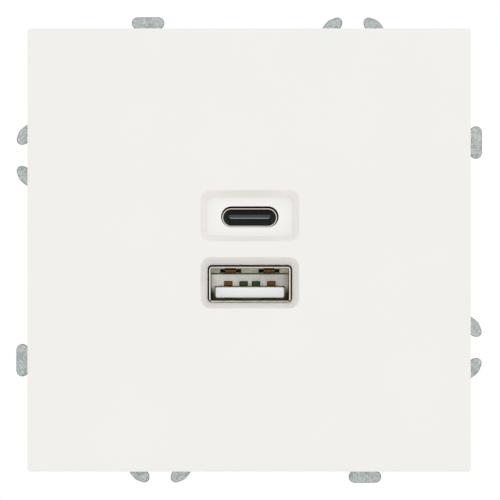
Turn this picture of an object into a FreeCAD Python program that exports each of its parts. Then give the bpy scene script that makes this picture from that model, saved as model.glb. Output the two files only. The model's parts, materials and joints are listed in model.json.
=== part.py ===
import FreeCAD, Part
import Sketcher
import math
import os
import re

os.makedirs("parts", exist_ok=True)
doc = FreeCAD.newDocument("usb_wall_socket")

# The frame of the part: X runs to the right, Y from the room into the wall, Z up.
# Y is zero on the back of the steel frame, which lies on the wall, and X and Z are zero at its centre.
# Every driving dimension is here, in millimetres or degrees.
SIZES = {
    # How far pieces that are fused reach into each other
    "merge": 0.5,
    # Centre plate
    "plate_side": 70.0,
    "plate_depth": 7.0,
    "plate_web": 2.0,
    "plate_wall": 1.6,
    "plate_corner": 0.5,
    "plate_edge": 0.3,
    "cover_frame_room": 1.8,
    "rib_thick": 1.0,
    "rib_depth": 1.4,
    "rib_place": 9.0,
    "ports_x": 0.11,
    "mouth_wide": 15.6,
    "mouth_tall": 8.12,
    "mouth_corner": 1.6,
    "mouth_lift": 0.15,
    "throat_wide": 13.44,
    "throat_tall": 6.0,
    "throat_corner": 0.6,
    # Snap hooks behind the centre plate
    "snap_thick": 1.2,
    "snap_wide": 7.0,
    "snap_place": 13.0,
    "snap_barb": 0.8,
    "snap_barb_deep": 1.6,
    "snap_gap": 0.3,
    "snap_tip": 1.3,
    "snap_play": 0.05,
    # Steel support frame
    "steel": 1.2,
    "frame_side": 68.5,
    "frame_corner": 2.5,
    "opening_wide": 28.0,
    "opening_tall": 38.0,
    "opening_corner": 2.0,
    "box_screw_pitch": 60.0,
    "box_slot_wide": 4.2,
    "box_slot_long": 6.4,
    # Lugs and hooks that lock neighbouring frames together
    "lug_out": 2.89,
    "lug_pitch": 32.7,
    "lug_head_wide": 5.16,
    "lug_head_deep": 1.9,
    "lug_neck_wide": 2.8,
    "hook_ring": 6.24,
    "hook_tip": 0.8,
    "hook_gap": 3.4,
    "hook_socket_wide": 5.5,
    "hook_socket_deep": 2.0,
    "hook_tip_over": 1.6,
    "shift_top": 0.22,
    "shift_right": -0.8,
    "shift_bottom": -2.13,
    "shift_left": -1.24,
    # Front housing behind the centre plate
    "nose_side": 44.0,
    "nose_corner": 3.0,
    "nose_wall": 1.6,
    "board_post": 1.5,
    "board_post_in_x": 2.5,
    "board_post_in_z": 3.0,
    "board_peg": 0.8,
    # Rear housing in the wall box
    "can_round": 27.0,
    "can_wide": 43.2,
    "can_tall": 50.0,
    "can_deep": 28.0,
    "can_wall": 1.8,
    "screw_column": 3.3,
    "screw_x": 17.2,
    "screw_z": 14.5,
    "screw_sink": 6.0,
    "ledge_wide": 1.6,
    "ledge_deep": 2.4,
    "ledge_place": 9.6,
    # Housing screws
    "screw_core": 1.45,
    "screw_head": 2.4,
    "screw_head_deep": 2.0,
    "screw_bite": 4.8,
    "screw_play": 0.05,
    "screw_pass": 0.25,
    "drive_slot": 0.7,
    "drive_deep": 0.9,
    "drive_cross": 3.4,
    "screw_tip_gap": 0.1,
    # Circuit boards
    "board": 1.2,
    "usb_board_y": 5.6,
    "usb_board_room_x": 0.5,
    "usb_board_room_z": 1.0,
    "board_spacing": 3.6,
    "board_gap": 0.4,
    # USB-A receptacle
    "usb_a_height": -5.32,
    "usb_a_drop": 0.09,
    "usb_a_wide": 12.88,
    "usb_a_tall": 5.63,
    "usb_a_corner": 0.55,
    "usb_a_wall": 0.27,
    "usb_a_proud": 0.3,
    "usb_a_clear_x": 0.255,
    "usb_a_clear_z": 0.14,
    "usb_a_block_deep": 5.6,
    "usb_a_roof_band": 1.0,
    "lip_slot_top": 0.22,
    "lip_slot_tall": 0.5,
    "tongue_a_wide": 11.0,
    "tongue_a_thick": 1.77,
    "tongue_a_floor_gap": 0.345,
    "tongue_a_back": 1.0,
    "spring_place": 3.07,
    "spring_wide": 1.77,
    "spring_slot_wide": 3.3,
    "spring_slot_long": 5.5,
    "spring_slot_start": 1.5,
    "spring_knee": 3.3,
    "spring_drop": 1.0,
    "spring_drop_low": 0.22,
    "contact_a_wide": 1.18,
    "contact_a_outer": 3.44,
    "contact_a_inner": 1.0,
    "contact_a_thick": 0.15,
    "contact_a_slot": 0.64,
    "contact_a_lift": 0.15,
    "contact_a_flat": 4.0,
    "contact_a_ramp": 1.2,
    "contact_a_toe": 0.3,
    "contact_play": 0.02,
    "moulding_play": 0.04,
    # USB-C receptacle
    "usb_c_height": 5.26,
    "usb_c_drop": 0.13,
    "usb_c_aside": 0.04,
    "usb_c_wide": 8.70,
    "usb_c_tall": 2.93,
    "usb_c_wall": 0.17,
    "usb_c_clear_x": 0.2,
    "usb_c_clear_z": 0.18,
    "usb_c_block_deep": 7.0,
    "tongue_c_wide": 6.69,
    "tongue_c_thick": 0.7,
    "tongue_c_lift": 0.12,
    "tongue_c_back": 0.9,
    "contact_c_wide": 0.26,
    "contact_c_pitch": 0.5,
    "contact_c_long": 3.8,
    "contact_c_proud": 0.05,
    # Spreader claws
    "claw_wide": 8.4,
    "claw_thick": 1.2,
    "claw_gap": 1.2,
    "claw_nose_gap": 1.4,
    "claw_pivot_y": 3.4,
    "claw_nib": 0.45,
    "claw_nib_play": 0.2,
    "claw_lug_reach": 5.9,
    "claw_foot_reach": 4.2,
    "claw_end": 21.6,
    "claw_window_start": 5.4,
    "claw_window_end": 15.2,
    "claw_window_wide": 4.0,
    "claw_tooth": 1.0,
    "claw_bend": 0.5,
    "ear_gap": 0.3,
    "ear_deep": 5.0,
    "ear_wide": 3.2,
    "ear_window": 3.4,
    "ear_shift": 0.3,
    # Claw screws
    "claw_screw_out": 3.0,
    "claw_screw_core": 1.5,
    "claw_screw_head": 2.8,
    "claw_screw_head_deep": 2.0,
    "claw_screw_long": 14.0,
    "claw_screw_play": 0.15,
    "claw_slot_in": 0.1,
    "claw_slot_out": 0.7,
    # Terminals
    "terminal_x": 6.5,
    "chamber_wide": 6.6,
    "chamber_tall": 7.0,
    "chamber_start": 13.8,
    "chamber_wall": 1.2,
    "terminal_cover": 1.6,
    "cover_lap": 0.6,
    "cage_wide": 5.8,
    "cage_long": 5.4,
    "cage_floor": 1.2,
    "cage_side": 0.9,
    "cage_thread_wall": 1.7,
    "cage_start": 14.3,
    "cage_window": 4.6,
    "bar_wide": 3.4,
    "bar_thick": 1.0,
    "bar_gap": 0.1,
    "terminal_screw_core": 1.45,
    "terminal_screw_head": 2.2,
    "terminal_screw_head_deep": 1.6,
    "cover_hole": 1.8,
    "wire_entry": 1.6,
    "chamber_floor": 1.6,
    # Power board components
    "core_wide": 14.0,
    "core_long": 12.0,
    "core_deep": 5.0,
    "core_leg": 4.8,
    "core_window": 2.6,
    "core_lift": 4.5,
    "flange": 0.6,
    "flange_deep": 10.8,
    "former_foot": 1.8,
    "former_wall": 0.55,
    "side_gap": 0.7,
    "capacitor_in": 4.5,
    "capacitor_in_tall": 13.0,
    "capacitor_in_z": 1.0,
    "capacitor_out": 3.6,
    "capacitor_out_tall": 10.0,
    "capacitor_out_z": 3.0,
    "film_wide": 13.0,
    "film_deep": 10.0,
    "film_thick": 5.0,
    "film_gap": 2.2,
    "choke_side": 5.2,
    "choke_tall": 8.0,
    "choke_z": -5.6,
    "fuse_wide": 4.2,
    "fuse_tall": 7.0,
    "fuse_x": -4.5,
    "bridge_wide": 6.5,
    "bridge_long": 5.2,
    "bridge_tall": 2.6,
    "bridge_x": 4.75,
    "bridge_gap": 0.9,
    "opto_wide": 4.6,
    "opto_long": 6.5,
    "opto_tall": 3.6,
    "opto_x": -9.3,
    "opto_z": 12.8,
    "disc_round": 3.5,
    "disc_thick": 2.4,
    "disc_x": 10.6,
    "disc_z": 14.2,
    "disc_lift": 1.2,
    "lead": 0.35,
    "chip_side": 5.0,
    "chip_tall": 1.5,
    "chip_x": 7.0,
    "header_pitch": 2.54,
    "header_in": 3.4,
    "header_gap": 0.9,
    "header_deep": 2.5,
    "header_pin": 0.32,
    "header_pin_hole": 0.45,
    "header_pin_out": 0.5,
}

sheet = doc.addObject("Spreadsheet::Sheet", "Sizes")
for row, (name, value) in enumerate(SIZES.items(), start=1):
    sheet.set(f"A{row}", name)
    sheet.set(f"B{row}", str(value))
    sheet.setAlias(f"B{row}", name)
doc.recompute()

# Places along Y, from the front of the centre plate to the back of the rear housing.
PLATE_FRONT = "-(steel + cover_frame_room + plate_depth)"
PLATE_BACK = "-(steel + cover_frame_room)"
NOSE_FACE = f"({PLATE_FRONT} + plate_web)"
NOSE_INSIDE = f"({NOSE_FACE} + nose_wall)"
STEEL_FRONT = "-steel"
USB_BOARD_BACK = "(usb_board_y + board)"
MAIN_BOARD = f"({USB_BOARD_BACK} + board_spacing)"
MAIN_BOARD_BACK = f"({MAIN_BOARD} + board)"
CAN_INSIDE = "(can_deep - can_wall)"
USB_A_FRONT = f"({NOSE_FACE} - usb_a_proud)"

# Places along X and Z
A_Z = "(usb_a_height - usb_a_drop)"
C_Z = "(usb_c_height - usb_c_drop)"
C_X = "(ports_x - usb_c_aside)"
USB_BOARD_WIDE = "(opening_wide - 2 * usb_board_room_x)"
USB_BOARD_TALL = "(opening_tall - 2 * usb_board_room_z)"
POST_X = f"({USB_BOARD_WIDE} / 2 - board_post_in_x)"
POST_Z = f"({USB_BOARD_TALL} / 2 - board_post_in_z)"
CAN_SIDE = "(can_wide / 2 - can_wall - side_gap)"
CLAW_X = "(max(can_wide / 2 + claw_gap + claw_thick / 2; nose_side / 2 + claw_nose_gap))"
CLAW_SCREW_X = f"({CLAW_X} + claw_screw_out)"

# Size of a sketch before its formulas are set
DRAFT = 8.0

AXES = {
    "X": FreeCAD.Rotation(FreeCAD.Vector(0, 1, 0), 90),
    "Y": FreeCAD.Rotation(FreeCAD.Vector(1, 0, 0), -90),
    "Z": FreeCAD.Rotation(),
}
PLANES = {
    "XY": FreeCAD.Rotation(),
    "YZ": FreeCAD.Rotation(FreeCAD.Vector(1, 1, 1), 120),
    "XZ": FreeCAD.Rotation(FreeCAD.Vector(1, 0, 0), 90),
}


def tie(item, prop, formula):
    """Bind one property to a formula written in the sheet's names."""
    def cell(word):
        return "Sizes." + word.group() if word.group() in SIZES else word.group()

    item.setExpression(prop, re.sub(r"[a-z][a-z_0-9]*", cell, formula))


def centred(size, middle="0"):
    """Low and high formulas of a span of one size about a middle."""
    return f"{middle} - ({size}) / 2", f"{middle} + ({size}) / 2"


def block(name, x, y, z):
    """Box between a low and a high formula along each axis."""
    item = doc.addObject("Part::Box", name)
    for side, axis, (low, high) in zip(("Length", "Width", "Height"), "xyz", (x, y, z)):
        tie(item, side, f"({high}) - ({low})")
        tie(item, f"Placement.Base.{axis}", low)
    return item


def rod(name, axis, radius, span, first, second):
    """Round bar along one axis; first and second are its centre on the other two axes, in X, Y, Z order."""
    item = doc.addObject("Part::Cylinder", name)
    item.Placement = FreeCAD.Placement(FreeCAD.Vector(), AXES[axis])
    tie(item, "Radius", radius)
    tie(item, "Height", f"({span[1]}) - ({span[0]})")
    others = [letter for letter in "XYZ" if letter != axis]
    for letter, formula in zip([axis] + others, (span[0], first, second)):
        tie(item, f"Placement.Base.{letter.lower()}", formula)
    return item


def fuse(name, pieces):
    """One solid from pieces that touch or overlap."""
    item = doc.addObject("Part::MultiFuse", name)
    item.Shapes = pieces
    item.Refine = True
    return item


def cut(name, base, tools):
    """A solid with one or more others taken out of it."""
    item = doc.addObject("Part::Cut", name)
    item.Base = base
    item.Tool = tools[0] if len(tools) == 1 else fuse(name + "_tools", tools)
    item.Refine = True
    return item


def group(name, pieces):
    """Separate like solids that share one node."""
    item = doc.addObject("Part::Compound", name)
    item.Links = pieces
    return item


def common(name, first, second):
    """What two solids share."""
    item = doc.addObject("Part::Common", name)
    item.Base = first
    item.Tool = second
    item.Refine = True
    return item


def obround(name, along, length, width, y, x, z):
    """Prism along Y with half-round ends, its long side along X or Z."""
    reach = f"(({length}) - ({width})) / 2"
    if along == "X":
        middle = block(name + "_middle", centred(f"({length}) - ({width})", x), y, centred(width, z))
        centres = [(f"{x} - {reach}", z), (f"{x} + {reach}", z)]
    else:
        middle = block(name + "_middle", centred(width, x), y, centred(f"({length}) - ({width})", z))
        centres = [(x, f"{z} - {reach}"), (x, f"{z} + {reach}")]
    ends = [rod(f"{name}_end", "Y", f"({width}) / 2", y, *centre) for centre in centres]
    return fuse(name, [middle] + ends)


def prism(name, plane, points, span):
    """Straight prism on a closed outline of formula pairs, between two formulas along the third axis."""
    sketch = doc.addObject("Sketcher::SketchObject", name + "_outline")
    sketch.Placement = FreeCAD.Placement(FreeCAD.Vector(), PLANES[plane])
    count = len(points)
    corners = []
    for turn in range(count):
        angle = 2 * math.pi * turn / count
        corners.append(FreeCAD.Vector(DRAFT * math.cos(angle), DRAFT * math.sin(angle), 0))
    for turn in range(count):
        sketch.addGeometry(Part.LineSegment(corners[turn], corners[(turn + 1) % count]))
    for turn in range(count):
        sketch.addConstraint(Sketcher.Constraint("Coincident", turn, 2, (turn + 1) % count, 1))
    for turn, (across, up) in enumerate(points):
        for kind, formula in (("DistanceX", across), ("DistanceY", up)):
            number = sketch.addConstraint(Sketcher.Constraint(kind, -1, 1, turn, 1, 1.0))
            tie(sketch, f"Constraints[{number}]", formula)
    normal = {"XY": "z", "YZ": "x", "XZ": "y"}[plane]
    tie(sketch, f"Placement.Base.{normal}", span[1] if plane == "XZ" else span[0])
    item = doc.addObject("Part::Extrusion", name)
    item.Base = sketch
    item.DirMode = "Normal"
    item.Solid = True
    tie(item, "LengthFwd", f"({span[1]}) - ({span[0]})")
    return item


def rounded_outline(sketch, wide, tall, corner):
    """Rectangle with four corner arcs, centred on the sketch's origin."""
    half, radius = DRAFT, DRAFT / 4
    flat = half - radius
    starts = [(-flat, -half), (half, -flat), (flat, half), (-half, flat)]
    ends = [(flat, -half), (half, flat), (-flat, half), (-half, -flat)]
    centres = [(flat, -flat), (flat, flat), (-flat, flat), (-flat, -flat)]
    upright = FreeCAD.Vector(0, 0, 1)
    for turn in range(4):
        begin, end = FreeCAD.Vector(*starts[turn], 0), FreeCAD.Vector(*ends[turn], 0)
        sketch.addGeometry(Part.LineSegment(begin, end))
        circle = Part.Circle(FreeCAD.Vector(*centres[turn], 0), upright, radius)
        angle = math.pi / 2 * (turn - 1)
        sketch.addGeometry(Part.ArcOfCircle(circle, angle, angle + math.pi / 2))
    for turn in range(4):
        line, arc, following = 2 * turn, 2 * turn + 1, (2 * turn + 2) % 8
        sketch.addConstraint(Sketcher.Constraint("Tangent", line, 2, arc, 1))
        sketch.addConstraint(Sketcher.Constraint("Tangent", arc, 2, following, 1))
        sketch.addConstraint(Sketcher.Constraint("Horizontal" if turn % 2 == 0 else "Vertical", line))
        if turn:
            sketch.addConstraint(Sketcher.Constraint("Equal", 1, arc))
    sketch.addConstraint(Sketcher.Constraint("Symmetric", 1, 3, 5, 3, -1, 1))
    for kind, values, formula in (
        ("Radius", (1, radius), corner),
        ("DistanceX", (7, 3, 1, 3, 2 * flat), f"{wide} - 2 * ({corner})"),
        ("DistanceY", (1, 3, 3, 3, 2 * flat), f"{tall} - 2 * ({corner})"),
    ):
        number = sketch.addConstraint(Sketcher.Constraint(kind, *values))
        tie(sketch, f"Constraints[{number}]", formula)


def rounded_prism(name, wide, tall, corner, y, x="0", z="0"):
    """Prism along Y on a rectangle with round corners."""
    sketch = doc.addObject("Sketcher::SketchObject", name + "_outline")
    sketch.Placement = FreeCAD.Placement(FreeCAD.Vector(), PLANES["XZ"])
    rounded_outline(sketch, wide, tall, corner)
    for axis, formula in zip("xyz", (x, y[1], z)):
        tie(sketch, f"Placement.Base.{axis}", formula)
    item = doc.addObject("Part::Extrusion", name)
    item.Base = sketch
    item.DirMode = "Normal"
    item.Solid = True
    tie(item, "LengthFwd", f"({y[1]}) - ({y[0]})")
    return item


def body_sketch(body, name, y, wide, tall, corner, x="0", z="0"):
    """Rounded rectangle on a body's own upright plane, moved to one place along Y."""
    sketch = body.newObject("Sketcher::SketchObject", name)
    plane = [item for item in body.Origin.OriginFeatures if item.Role == "XZ_Plane"][0]
    sketch.AttachmentSupport = (plane, "")
    sketch.MapMode = "FlatFace"
    rounded_outline(sketch, wide, tall, corner)
    tie(sketch, "AttachmentOffset.Base.x", x)
    tie(sketch, "AttachmentOffset.Base.y", z)
    tie(sketch, "AttachmentOffset.Base.z", f"-({y})")
    return sketch


def body_pad(body, name, sketch, length):
    """Material from a sketch towards the room."""
    pad = body.newObject("PartDesign::Pad", name)
    pad.Profile = sketch
    tie(pad, "Length", length)
    return pad


def body_pocket(body, name, sketch, length):
    """Material taken out from a sketch towards the wall."""
    pocket = body.newObject("PartDesign::Pocket", name)
    pocket.Profile = sketch
    tie(pocket, "Length", length)
    return pocket


def body_funnel(body, name, mouth, throat):
    """Material taken out between two sketches."""
    funnel = body.newObject("PartDesign::SubtractiveLoft", name)
    funnel.Profile = mouth
    funnel.Sections = [throat]
    funnel.Ruled = True
    return funnel


def edges_at(shape, y):
    """Names of the edges that lie wholly at one place along Y."""
    names = []
    for number, edge in enumerate(shape.Edges, start=1):
        box = edge.BoundBox
        if abs(box.YMin - y) < 1e-4 and abs(box.YMax - y) < 1e-4:
            names.append(f"Edge{number}")
    return names


# Centre plate: a moulded tray with a web in front, a skirt round it and two funnel windows.
# The web's back lies on the face of the front housing.
plate = doc.addObject("PartDesign::Body", "centre_plate_body")
outline = body_sketch(plate, "plate_outline", PLATE_BACK, "plate_side", "plate_side", "plate_corner")
slab = body_pad(plate, "plate_slab", outline, "plate_depth")
doc.recompute()
rim = plate.newObject("PartDesign::Chamfer", "plate_front_edge")
rim.Base = (slab, edges_at(slab.Shape, slab.Shape.BoundBox.YMin))
tie(rim, "Size", "plate_edge")
hollow_side = "plate_side - 2 * plate_wall"
hollow = body_sketch(plate, "plate_hollow_outline", NOSE_FACE, hollow_side, hollow_side, "plate_corner")
body_pocket(plate, "plate_hollow", hollow, "plate_depth")
for port in ("usb_c", "usb_a"):
    height = f"{port}_height"
    mouth = body_sketch(plate, f"{port}_mouth", PLATE_FRONT, "mouth_wide", "mouth_tall", "mouth_corner",
                        "ports_x", f"{height} + mouth_lift")
    throat = body_sketch(plate, f"{port}_throat", NOSE_FACE, "throat_wide", "throat_tall", "throat_corner",
                         "ports_x", height)
    body_funnel(plate, f"{port}_window", mouth, throat)

SNAP_INSIDE = "(nose_side / 2 + snap_gap)"
SNAP_OUTSIDE = f"({SNAP_INSIDE} + snap_thick)"
SNAP_TIP = f"({STEEL_FRONT} - snap_tip)"
behind_web = [plate]
for side in (1, -1):
    for level in (1, -1):
        place = f"{level} * snap_place"
        corners = [
            (f"{side} * {SNAP_OUTSIDE}", NOSE_FACE),
            (f"{side} * {SNAP_OUTSIDE}", SNAP_TIP),
            (f"{side} * {SNAP_INSIDE}", SNAP_TIP),
            (f"{side} * ({SNAP_INSIDE} - snap_barb)", f"{SNAP_TIP} - snap_barb_deep / 2"),
            (f"{side} * ({SNAP_INSIDE} - snap_barb)", f"{SNAP_TIP} - snap_barb_deep"),
            (f"{side} * {SNAP_INSIDE}", f"{SNAP_TIP} - snap_barb_deep"),
            (f"{side} * {SNAP_INSIDE}", NOSE_FACE),
        ]
        behind_web.append(prism("snap_hook", "XY", corners, centred("snap_wide", place)))
    for level in (1, -1):
        skirt = f"{side} * (plate_side / 2 - plate_wall + merge)"
        nose_edge = f"{side} * (nose_side / 2 + snap_gap)"
        run = (nose_edge, skirt) if side > 0 else (skirt, nose_edge)
        deep = (NOSE_FACE, f"{NOSE_FACE} + rib_depth")
        offset = centred("rib_thick", f"{level} * rib_place")
        behind_web.append(block("plate_rib", run, deep, offset))
        behind_web.append(block("plate_rib", offset, deep, run))
centre_plate = fuse("centre_plate", behind_web)

# Steel support frame: one stamped sheet with an opening for the power supply, slots for the box screws
# and four folded ears that carry the claws.
sheet_span = (STEEL_FRONT, "0")
flat_sheet = rounded_prism("frame_sheet", "frame_side", "frame_side", "frame_corner", sheet_span)
EDGE = "(frame_side / 2)"
REACH = f"({EDGE} + lug_out)"
TIP_MIDDLE = "(hook_gap / 2 + hook_tip)"
TIP_TOUCH = f"({TIP_MIDDLE} * hook_ring / (hook_ring - hook_tip))"
RING_MIDDLE = f"({REACH} - hook_tip - sqrt((hook_ring - hook_tip)^2 - {TIP_MIDDLE}^2))"


def tabs(name, turn, shift):
    """One side's lug and hook, drawn for the top side and turned about Y to their own side."""
    lug_x = f"({shift} - lug_pitch / 2)"
    hook_x = f"({shift} + lug_pitch / 2)"
    head = obround(name + "_lug_head", "X", "lug_head_wide", "lug_head_deep", sheet_span, lug_x,
                   f"{REACH} - lug_head_deep / 2")
    neck = block(name + "_lug_neck", centred("lug_neck_wide", lug_x), sheet_span,
                 (f"{EDGE} - frame_corner", f"{REACH} - lug_head_deep / 2"))
    ring = rod(name + "_hook_ring", "Y", "hook_ring", sheet_span, hook_x, RING_MIDDLE)
    root = block(name + "_hook_root", centred("2 * hook_ring", hook_x), sheet_span,
                 (f"{EDGE} - frame_corner", f"{REACH} + hook_tip"))
    arch = common(name + "_hook_arch", ring, root)
    mouth = block(name + "_hook_mouth", centred(f"2 * {TIP_TOUCH}", hook_x), sheet_span,
                  (f"{REACH} - hook_tip_over", f"{REACH} + hook_tip"))
    horns = cut(name + "_horns", arch, [mouth])
    tips = []
    for end in (1, -1):
        tips.append(rod(name + "_hook_tip", "Y", "hook_tip", sheet_span, f"{hook_x} + {end} * {TIP_MIDDLE}",
                        f"{REACH} - hook_tip"))
        inner, outer = f"{hook_x} + {end} * {TIP_MIDDLE}", f"{hook_x} + {end} * ({TIP_TOUCH} + merge)"
        tips.append(block(name + "_hook_heel", (inner, outer) if end > 0 else (outer, inner), sheet_span,
                          (f"{REACH} - hook_tip_over", f"{REACH} - hook_tip")))
    socket = block(name + "_socket", centred("hook_socket_wide", hook_x), sheet_span,
                   (f"{REACH} - hook_tip_over - hook_socket_deep", f"{REACH} - hook_tip_over"))
    gap = block(name + "_gap", centred("hook_gap", hook_x), sheet_span,
                (f"{REACH} - hook_tip_over - hook_socket_deep / 2", f"{REACH} + hook_tip"))
    pieces = []
    for item in (fuse(name + "_added", [head, neck, horns] + tips), fuse(name + "_taken", [socket, gap])):
        item.Placement = FreeCAD.Placement(FreeCAD.Vector(), FreeCAD.Rotation(FreeCAD.Vector(0, 1, 0), turn))
        pieces.append(item)
    return pieces


# Each side's lug stands left of its hook, seen from the middle of the frame with that side on top.
sides = [
    tabs("top", 0, "shift_top"),
    tabs("right", 90, "shift_right"),
    tabs("bottom", 180, "shift_bottom"),
    tabs("left", 270, "shift_left"),
]

ears = []
ear_slots = []
ear_windows = []
EAR_NEAR = "(claw_wide / 2 + ear_gap)"
EAR_FAR = f"({EAR_NEAR} + steel)"
for side in (1, -1):
    middle = f"{side} * ({CLAW_X} + ear_shift)"
    for level in (1, -1):
        near, far = f"{level} * {EAR_NEAR}", f"{level} * {EAR_FAR}"
        beyond = f"{level} * ({EAR_FAR} + ear_window)"
        upright = (near, far) if level > 0 else (far, near)
        open_span = (far, beyond) if level > 0 else (beyond, far)
        ears.append(block("ear", centred("ear_wide", middle), (STEEL_FRONT, "ear_deep"), upright))
        ear_slots.append(block("ear_slot", centred("2 * (claw_nib + claw_nib_play)", f"{side} * {CLAW_X}"),
                               ("claw_pivot_y - claw_nib - claw_nib_play", "ear_deep"), upright))
        ear_windows.append(block("ear_window", centred("ear_wide", middle), sheet_span, open_span))

frame_holes = [
    rounded_prism("frame_opening", "opening_wide", "opening_tall", "opening_corner", sheet_span),
]
for level in (1, -1):
    frame_holes.append(obround("box_slot", "Z", "box_slot_long", "box_slot_wide", sheet_span, "0",
                               f"{level} * box_screw_pitch / 2"))
    frame_holes.append(rod("claw_screw_hole", "Y", "claw_screw_core + claw_screw_play", sheet_span,
                           f"{level} * {CLAW_SCREW_X}", "0"))
    frame_holes.append(rod("housing_screw_hole", "Y", "screw_core + screw_pass", sheet_span,
                           f"{level} * screw_x", f"{level} * screw_z"))
frame_blank = fuse("frame_blank", [flat_sheet] + ears + [added for added, taken in sides])
support_frame = cut("support_frame", frame_blank,
                    frame_holes + ear_slots + ear_windows + [taken for added, taken in sides])

# Front housing: a moulded tray whose face carries the receptacles and whose posts carry the usb board.
nose = doc.addObject("PartDesign::Body", "front_housing_body")
outline = body_sketch(nose, "nose_outline", STEEL_FRONT, "nose_side", "nose_side", "nose_corner")
body_pad(nose, "nose_slab", outline, f"{STEEL_FRONT} - {NOSE_FACE}")
inner_side = "nose_side - 2 * nose_wall"
hollow = body_sketch(nose, "nose_hollow_outline", NOSE_INSIDE, inner_side, inner_side,
                     "nose_corner - nose_wall")
body_pocket(nose, "nose_hollow", hollow, "plate_depth")
BITE_END = f"({STEEL_FRONT} - screw_bite)"
nose_added = [nose]
nose_taken = []
for side in (1, -1):
    # Screw bosses stand on one diagonal and board posts on the other.
    screw = (f"{side} * screw_x", f"{side} * screw_z")
    nose_added.append(rod("screw_boss", "Y", "screw_column", (NOSE_INSIDE, STEEL_FRONT), *screw))
    nose_taken.append(rod("screw_bore", "Y", "screw_core + screw_play", (BITE_END, STEEL_FRONT), *screw))
    post = (f"{side} * {POST_X}", f"-{side} * {POST_Z}")
    nose_added.append(block("board_post", centred("2 * board_post", post[0]), (NOSE_INSIDE, "usb_board_y"),
                            centred("2 * board_post", post[1])))
    nose_added.append(rod("board_peg", "Y", "board_peg", ("usb_board_y", USB_BOARD_BACK), *post))
    for level in (1, -1):
        pocket_x = (f"{side} * (nose_side / 2 - snap_barb)", f"{side} * (nose_side / 2)")
        pocket_y = (f"{SNAP_TIP} - snap_barb_deep - snap_play", STEEL_FRONT)
        pocket_z = centred("snap_wide + 2 * snap_gap", f"{level} * snap_place")
        pocket_x = pocket_x if side > 0 else pocket_x[::-1]
        nose_taken.append(block("snap_pocket", pocket_x, pocket_y, pocket_z))
face_span = (NOSE_FACE, NOSE_INSIDE)
nose_taken.append(rounded_prism("usb_a_hole", "usb_a_wide + 2 * usb_a_clear_x",
                                "usb_a_tall + 2 * usb_a_clear_z", "usb_a_corner + usb_a_clear_z",
                                face_span, "ports_x", "usb_a_height"))
nose_taken.append(obround("usb_c_hole", "X", "usb_c_wide + 2 * usb_c_clear_x",
                          "usb_c_tall + 2 * usb_c_clear_z", face_span, "ports_x", "usb_c_height"))
front_housing = cut("front_housing", fuse("nose_blank", nose_added), nose_taken)

# Rear housing: a can that fits the round wall box, with flat sides for the claws.
can_span = ("0", "can_deep")
inside_span = ("0", CAN_INSIDE)
can_outside = common("can_outside", rod("can_round_outside", "Y", "can_round", can_span, "0", "0"),
                     block("can_flat_outside", centred("can_wide"), can_span, centred("can_tall")))
can_inside = common("can_inside",
                    rod("can_round_inside", "Y", "can_round - can_wall", inside_span, "0", "0"),
                    block("can_flat_inside", centred("can_wide - 2 * can_wall"), inside_span,
                          centred("can_tall - 2 * can_wall")))
can_shell = cut("can_shell", can_outside, [can_inside])
CHAMBER_LOW = "(-can_tall / 2 + chamber_floor)"
CHAMBER_HIGH = f"({CHAMBER_LOW} + chamber_tall)"
COVER_START = "(can_deep - terminal_cover)"
CHAMBERS_WIDE = "(2 * terminal_x + chamber_wide + 2 * chamber_wall)"
HEAD_SEAT = "(can_deep - screw_sink)"
WIRE_Y = "(cage_start + cage_floor + (cage_window - bar_thick - bar_gap) / 2)"
added = [can_shell]
taken = []
added.append(block("terminal_block", centred(CHAMBERS_WIDE),
                   ("chamber_start - chamber_wall", "can_deep - merge"),
                   ("-can_tall / 2 + merge", f"{CHAMBER_HIGH} + chamber_wall")))
for side in (1, -1):
    terminal = f"{side} * terminal_x"
    taken.append(block("terminal_chamber", centred("chamber_wide", terminal), ("chamber_start", "can_deep"),
                       (CHAMBER_LOW, CHAMBER_HIGH)))
    taken.append(rod("wire_entry_hole", "Z", "wire_entry", ("-can_tall / 2", CHAMBER_LOW), terminal, WIRE_Y))
    screw = (f"{side} * screw_x", f"{side} * screw_z")
    column = rod("screw_column_round", "Y", "screw_column", ("0", "can_deep - merge"), *screw)
    added.append(common("screw_column", column, can_outside))
    taken.append(rod("screw_shaft", "Y", "screw_core + screw_pass", ("0", HEAD_SEAT), *screw))
    taken.append(rod("screw_head_sink", "Y", "screw_head + screw_pass", (HEAD_SEAT, "can_deep"), *screw))
    wall_inside = "(can_wide / 2 - can_wall)"
    ledge = (f"{side} * ({wall_inside} - ledge_deep)", f"{side} * ({wall_inside} + merge)")
    for level in (1, -1):
        added.append(block("board_ledge", ledge if side > 0 else ledge[::-1],
                           (MAIN_BOARD_BACK, f"{CAN_INSIDE} + merge"),
                           centred("ledge_wide", f"{level} * ledge_place")))
BAR_Y = "(cage_start + cage_floor + cage_window - bar_gap - bar_thick)"
for side in (1, -1):
    taken.append(block("bar_passage", centred("bar_wide + 4 * bar_gap", f"{side} * terminal_x"),
                       (f"{BAR_Y} - 2 * bar_gap", f"{BAR_Y} + bar_thick + 2 * bar_gap"),
                       (CHAMBER_HIGH, f"{CHAMBER_HIGH} + chamber_wall")))
taken.append(block("cover_seat", centred(CHAMBERS_WIDE), (COVER_START, "can_deep"),
                   (f"{CHAMBER_LOW} - cover_lap", f"{CHAMBER_HIGH} + chamber_wall")))
rear_housing = cut("rear_housing", fuse("can_blank", added), taken)

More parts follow.
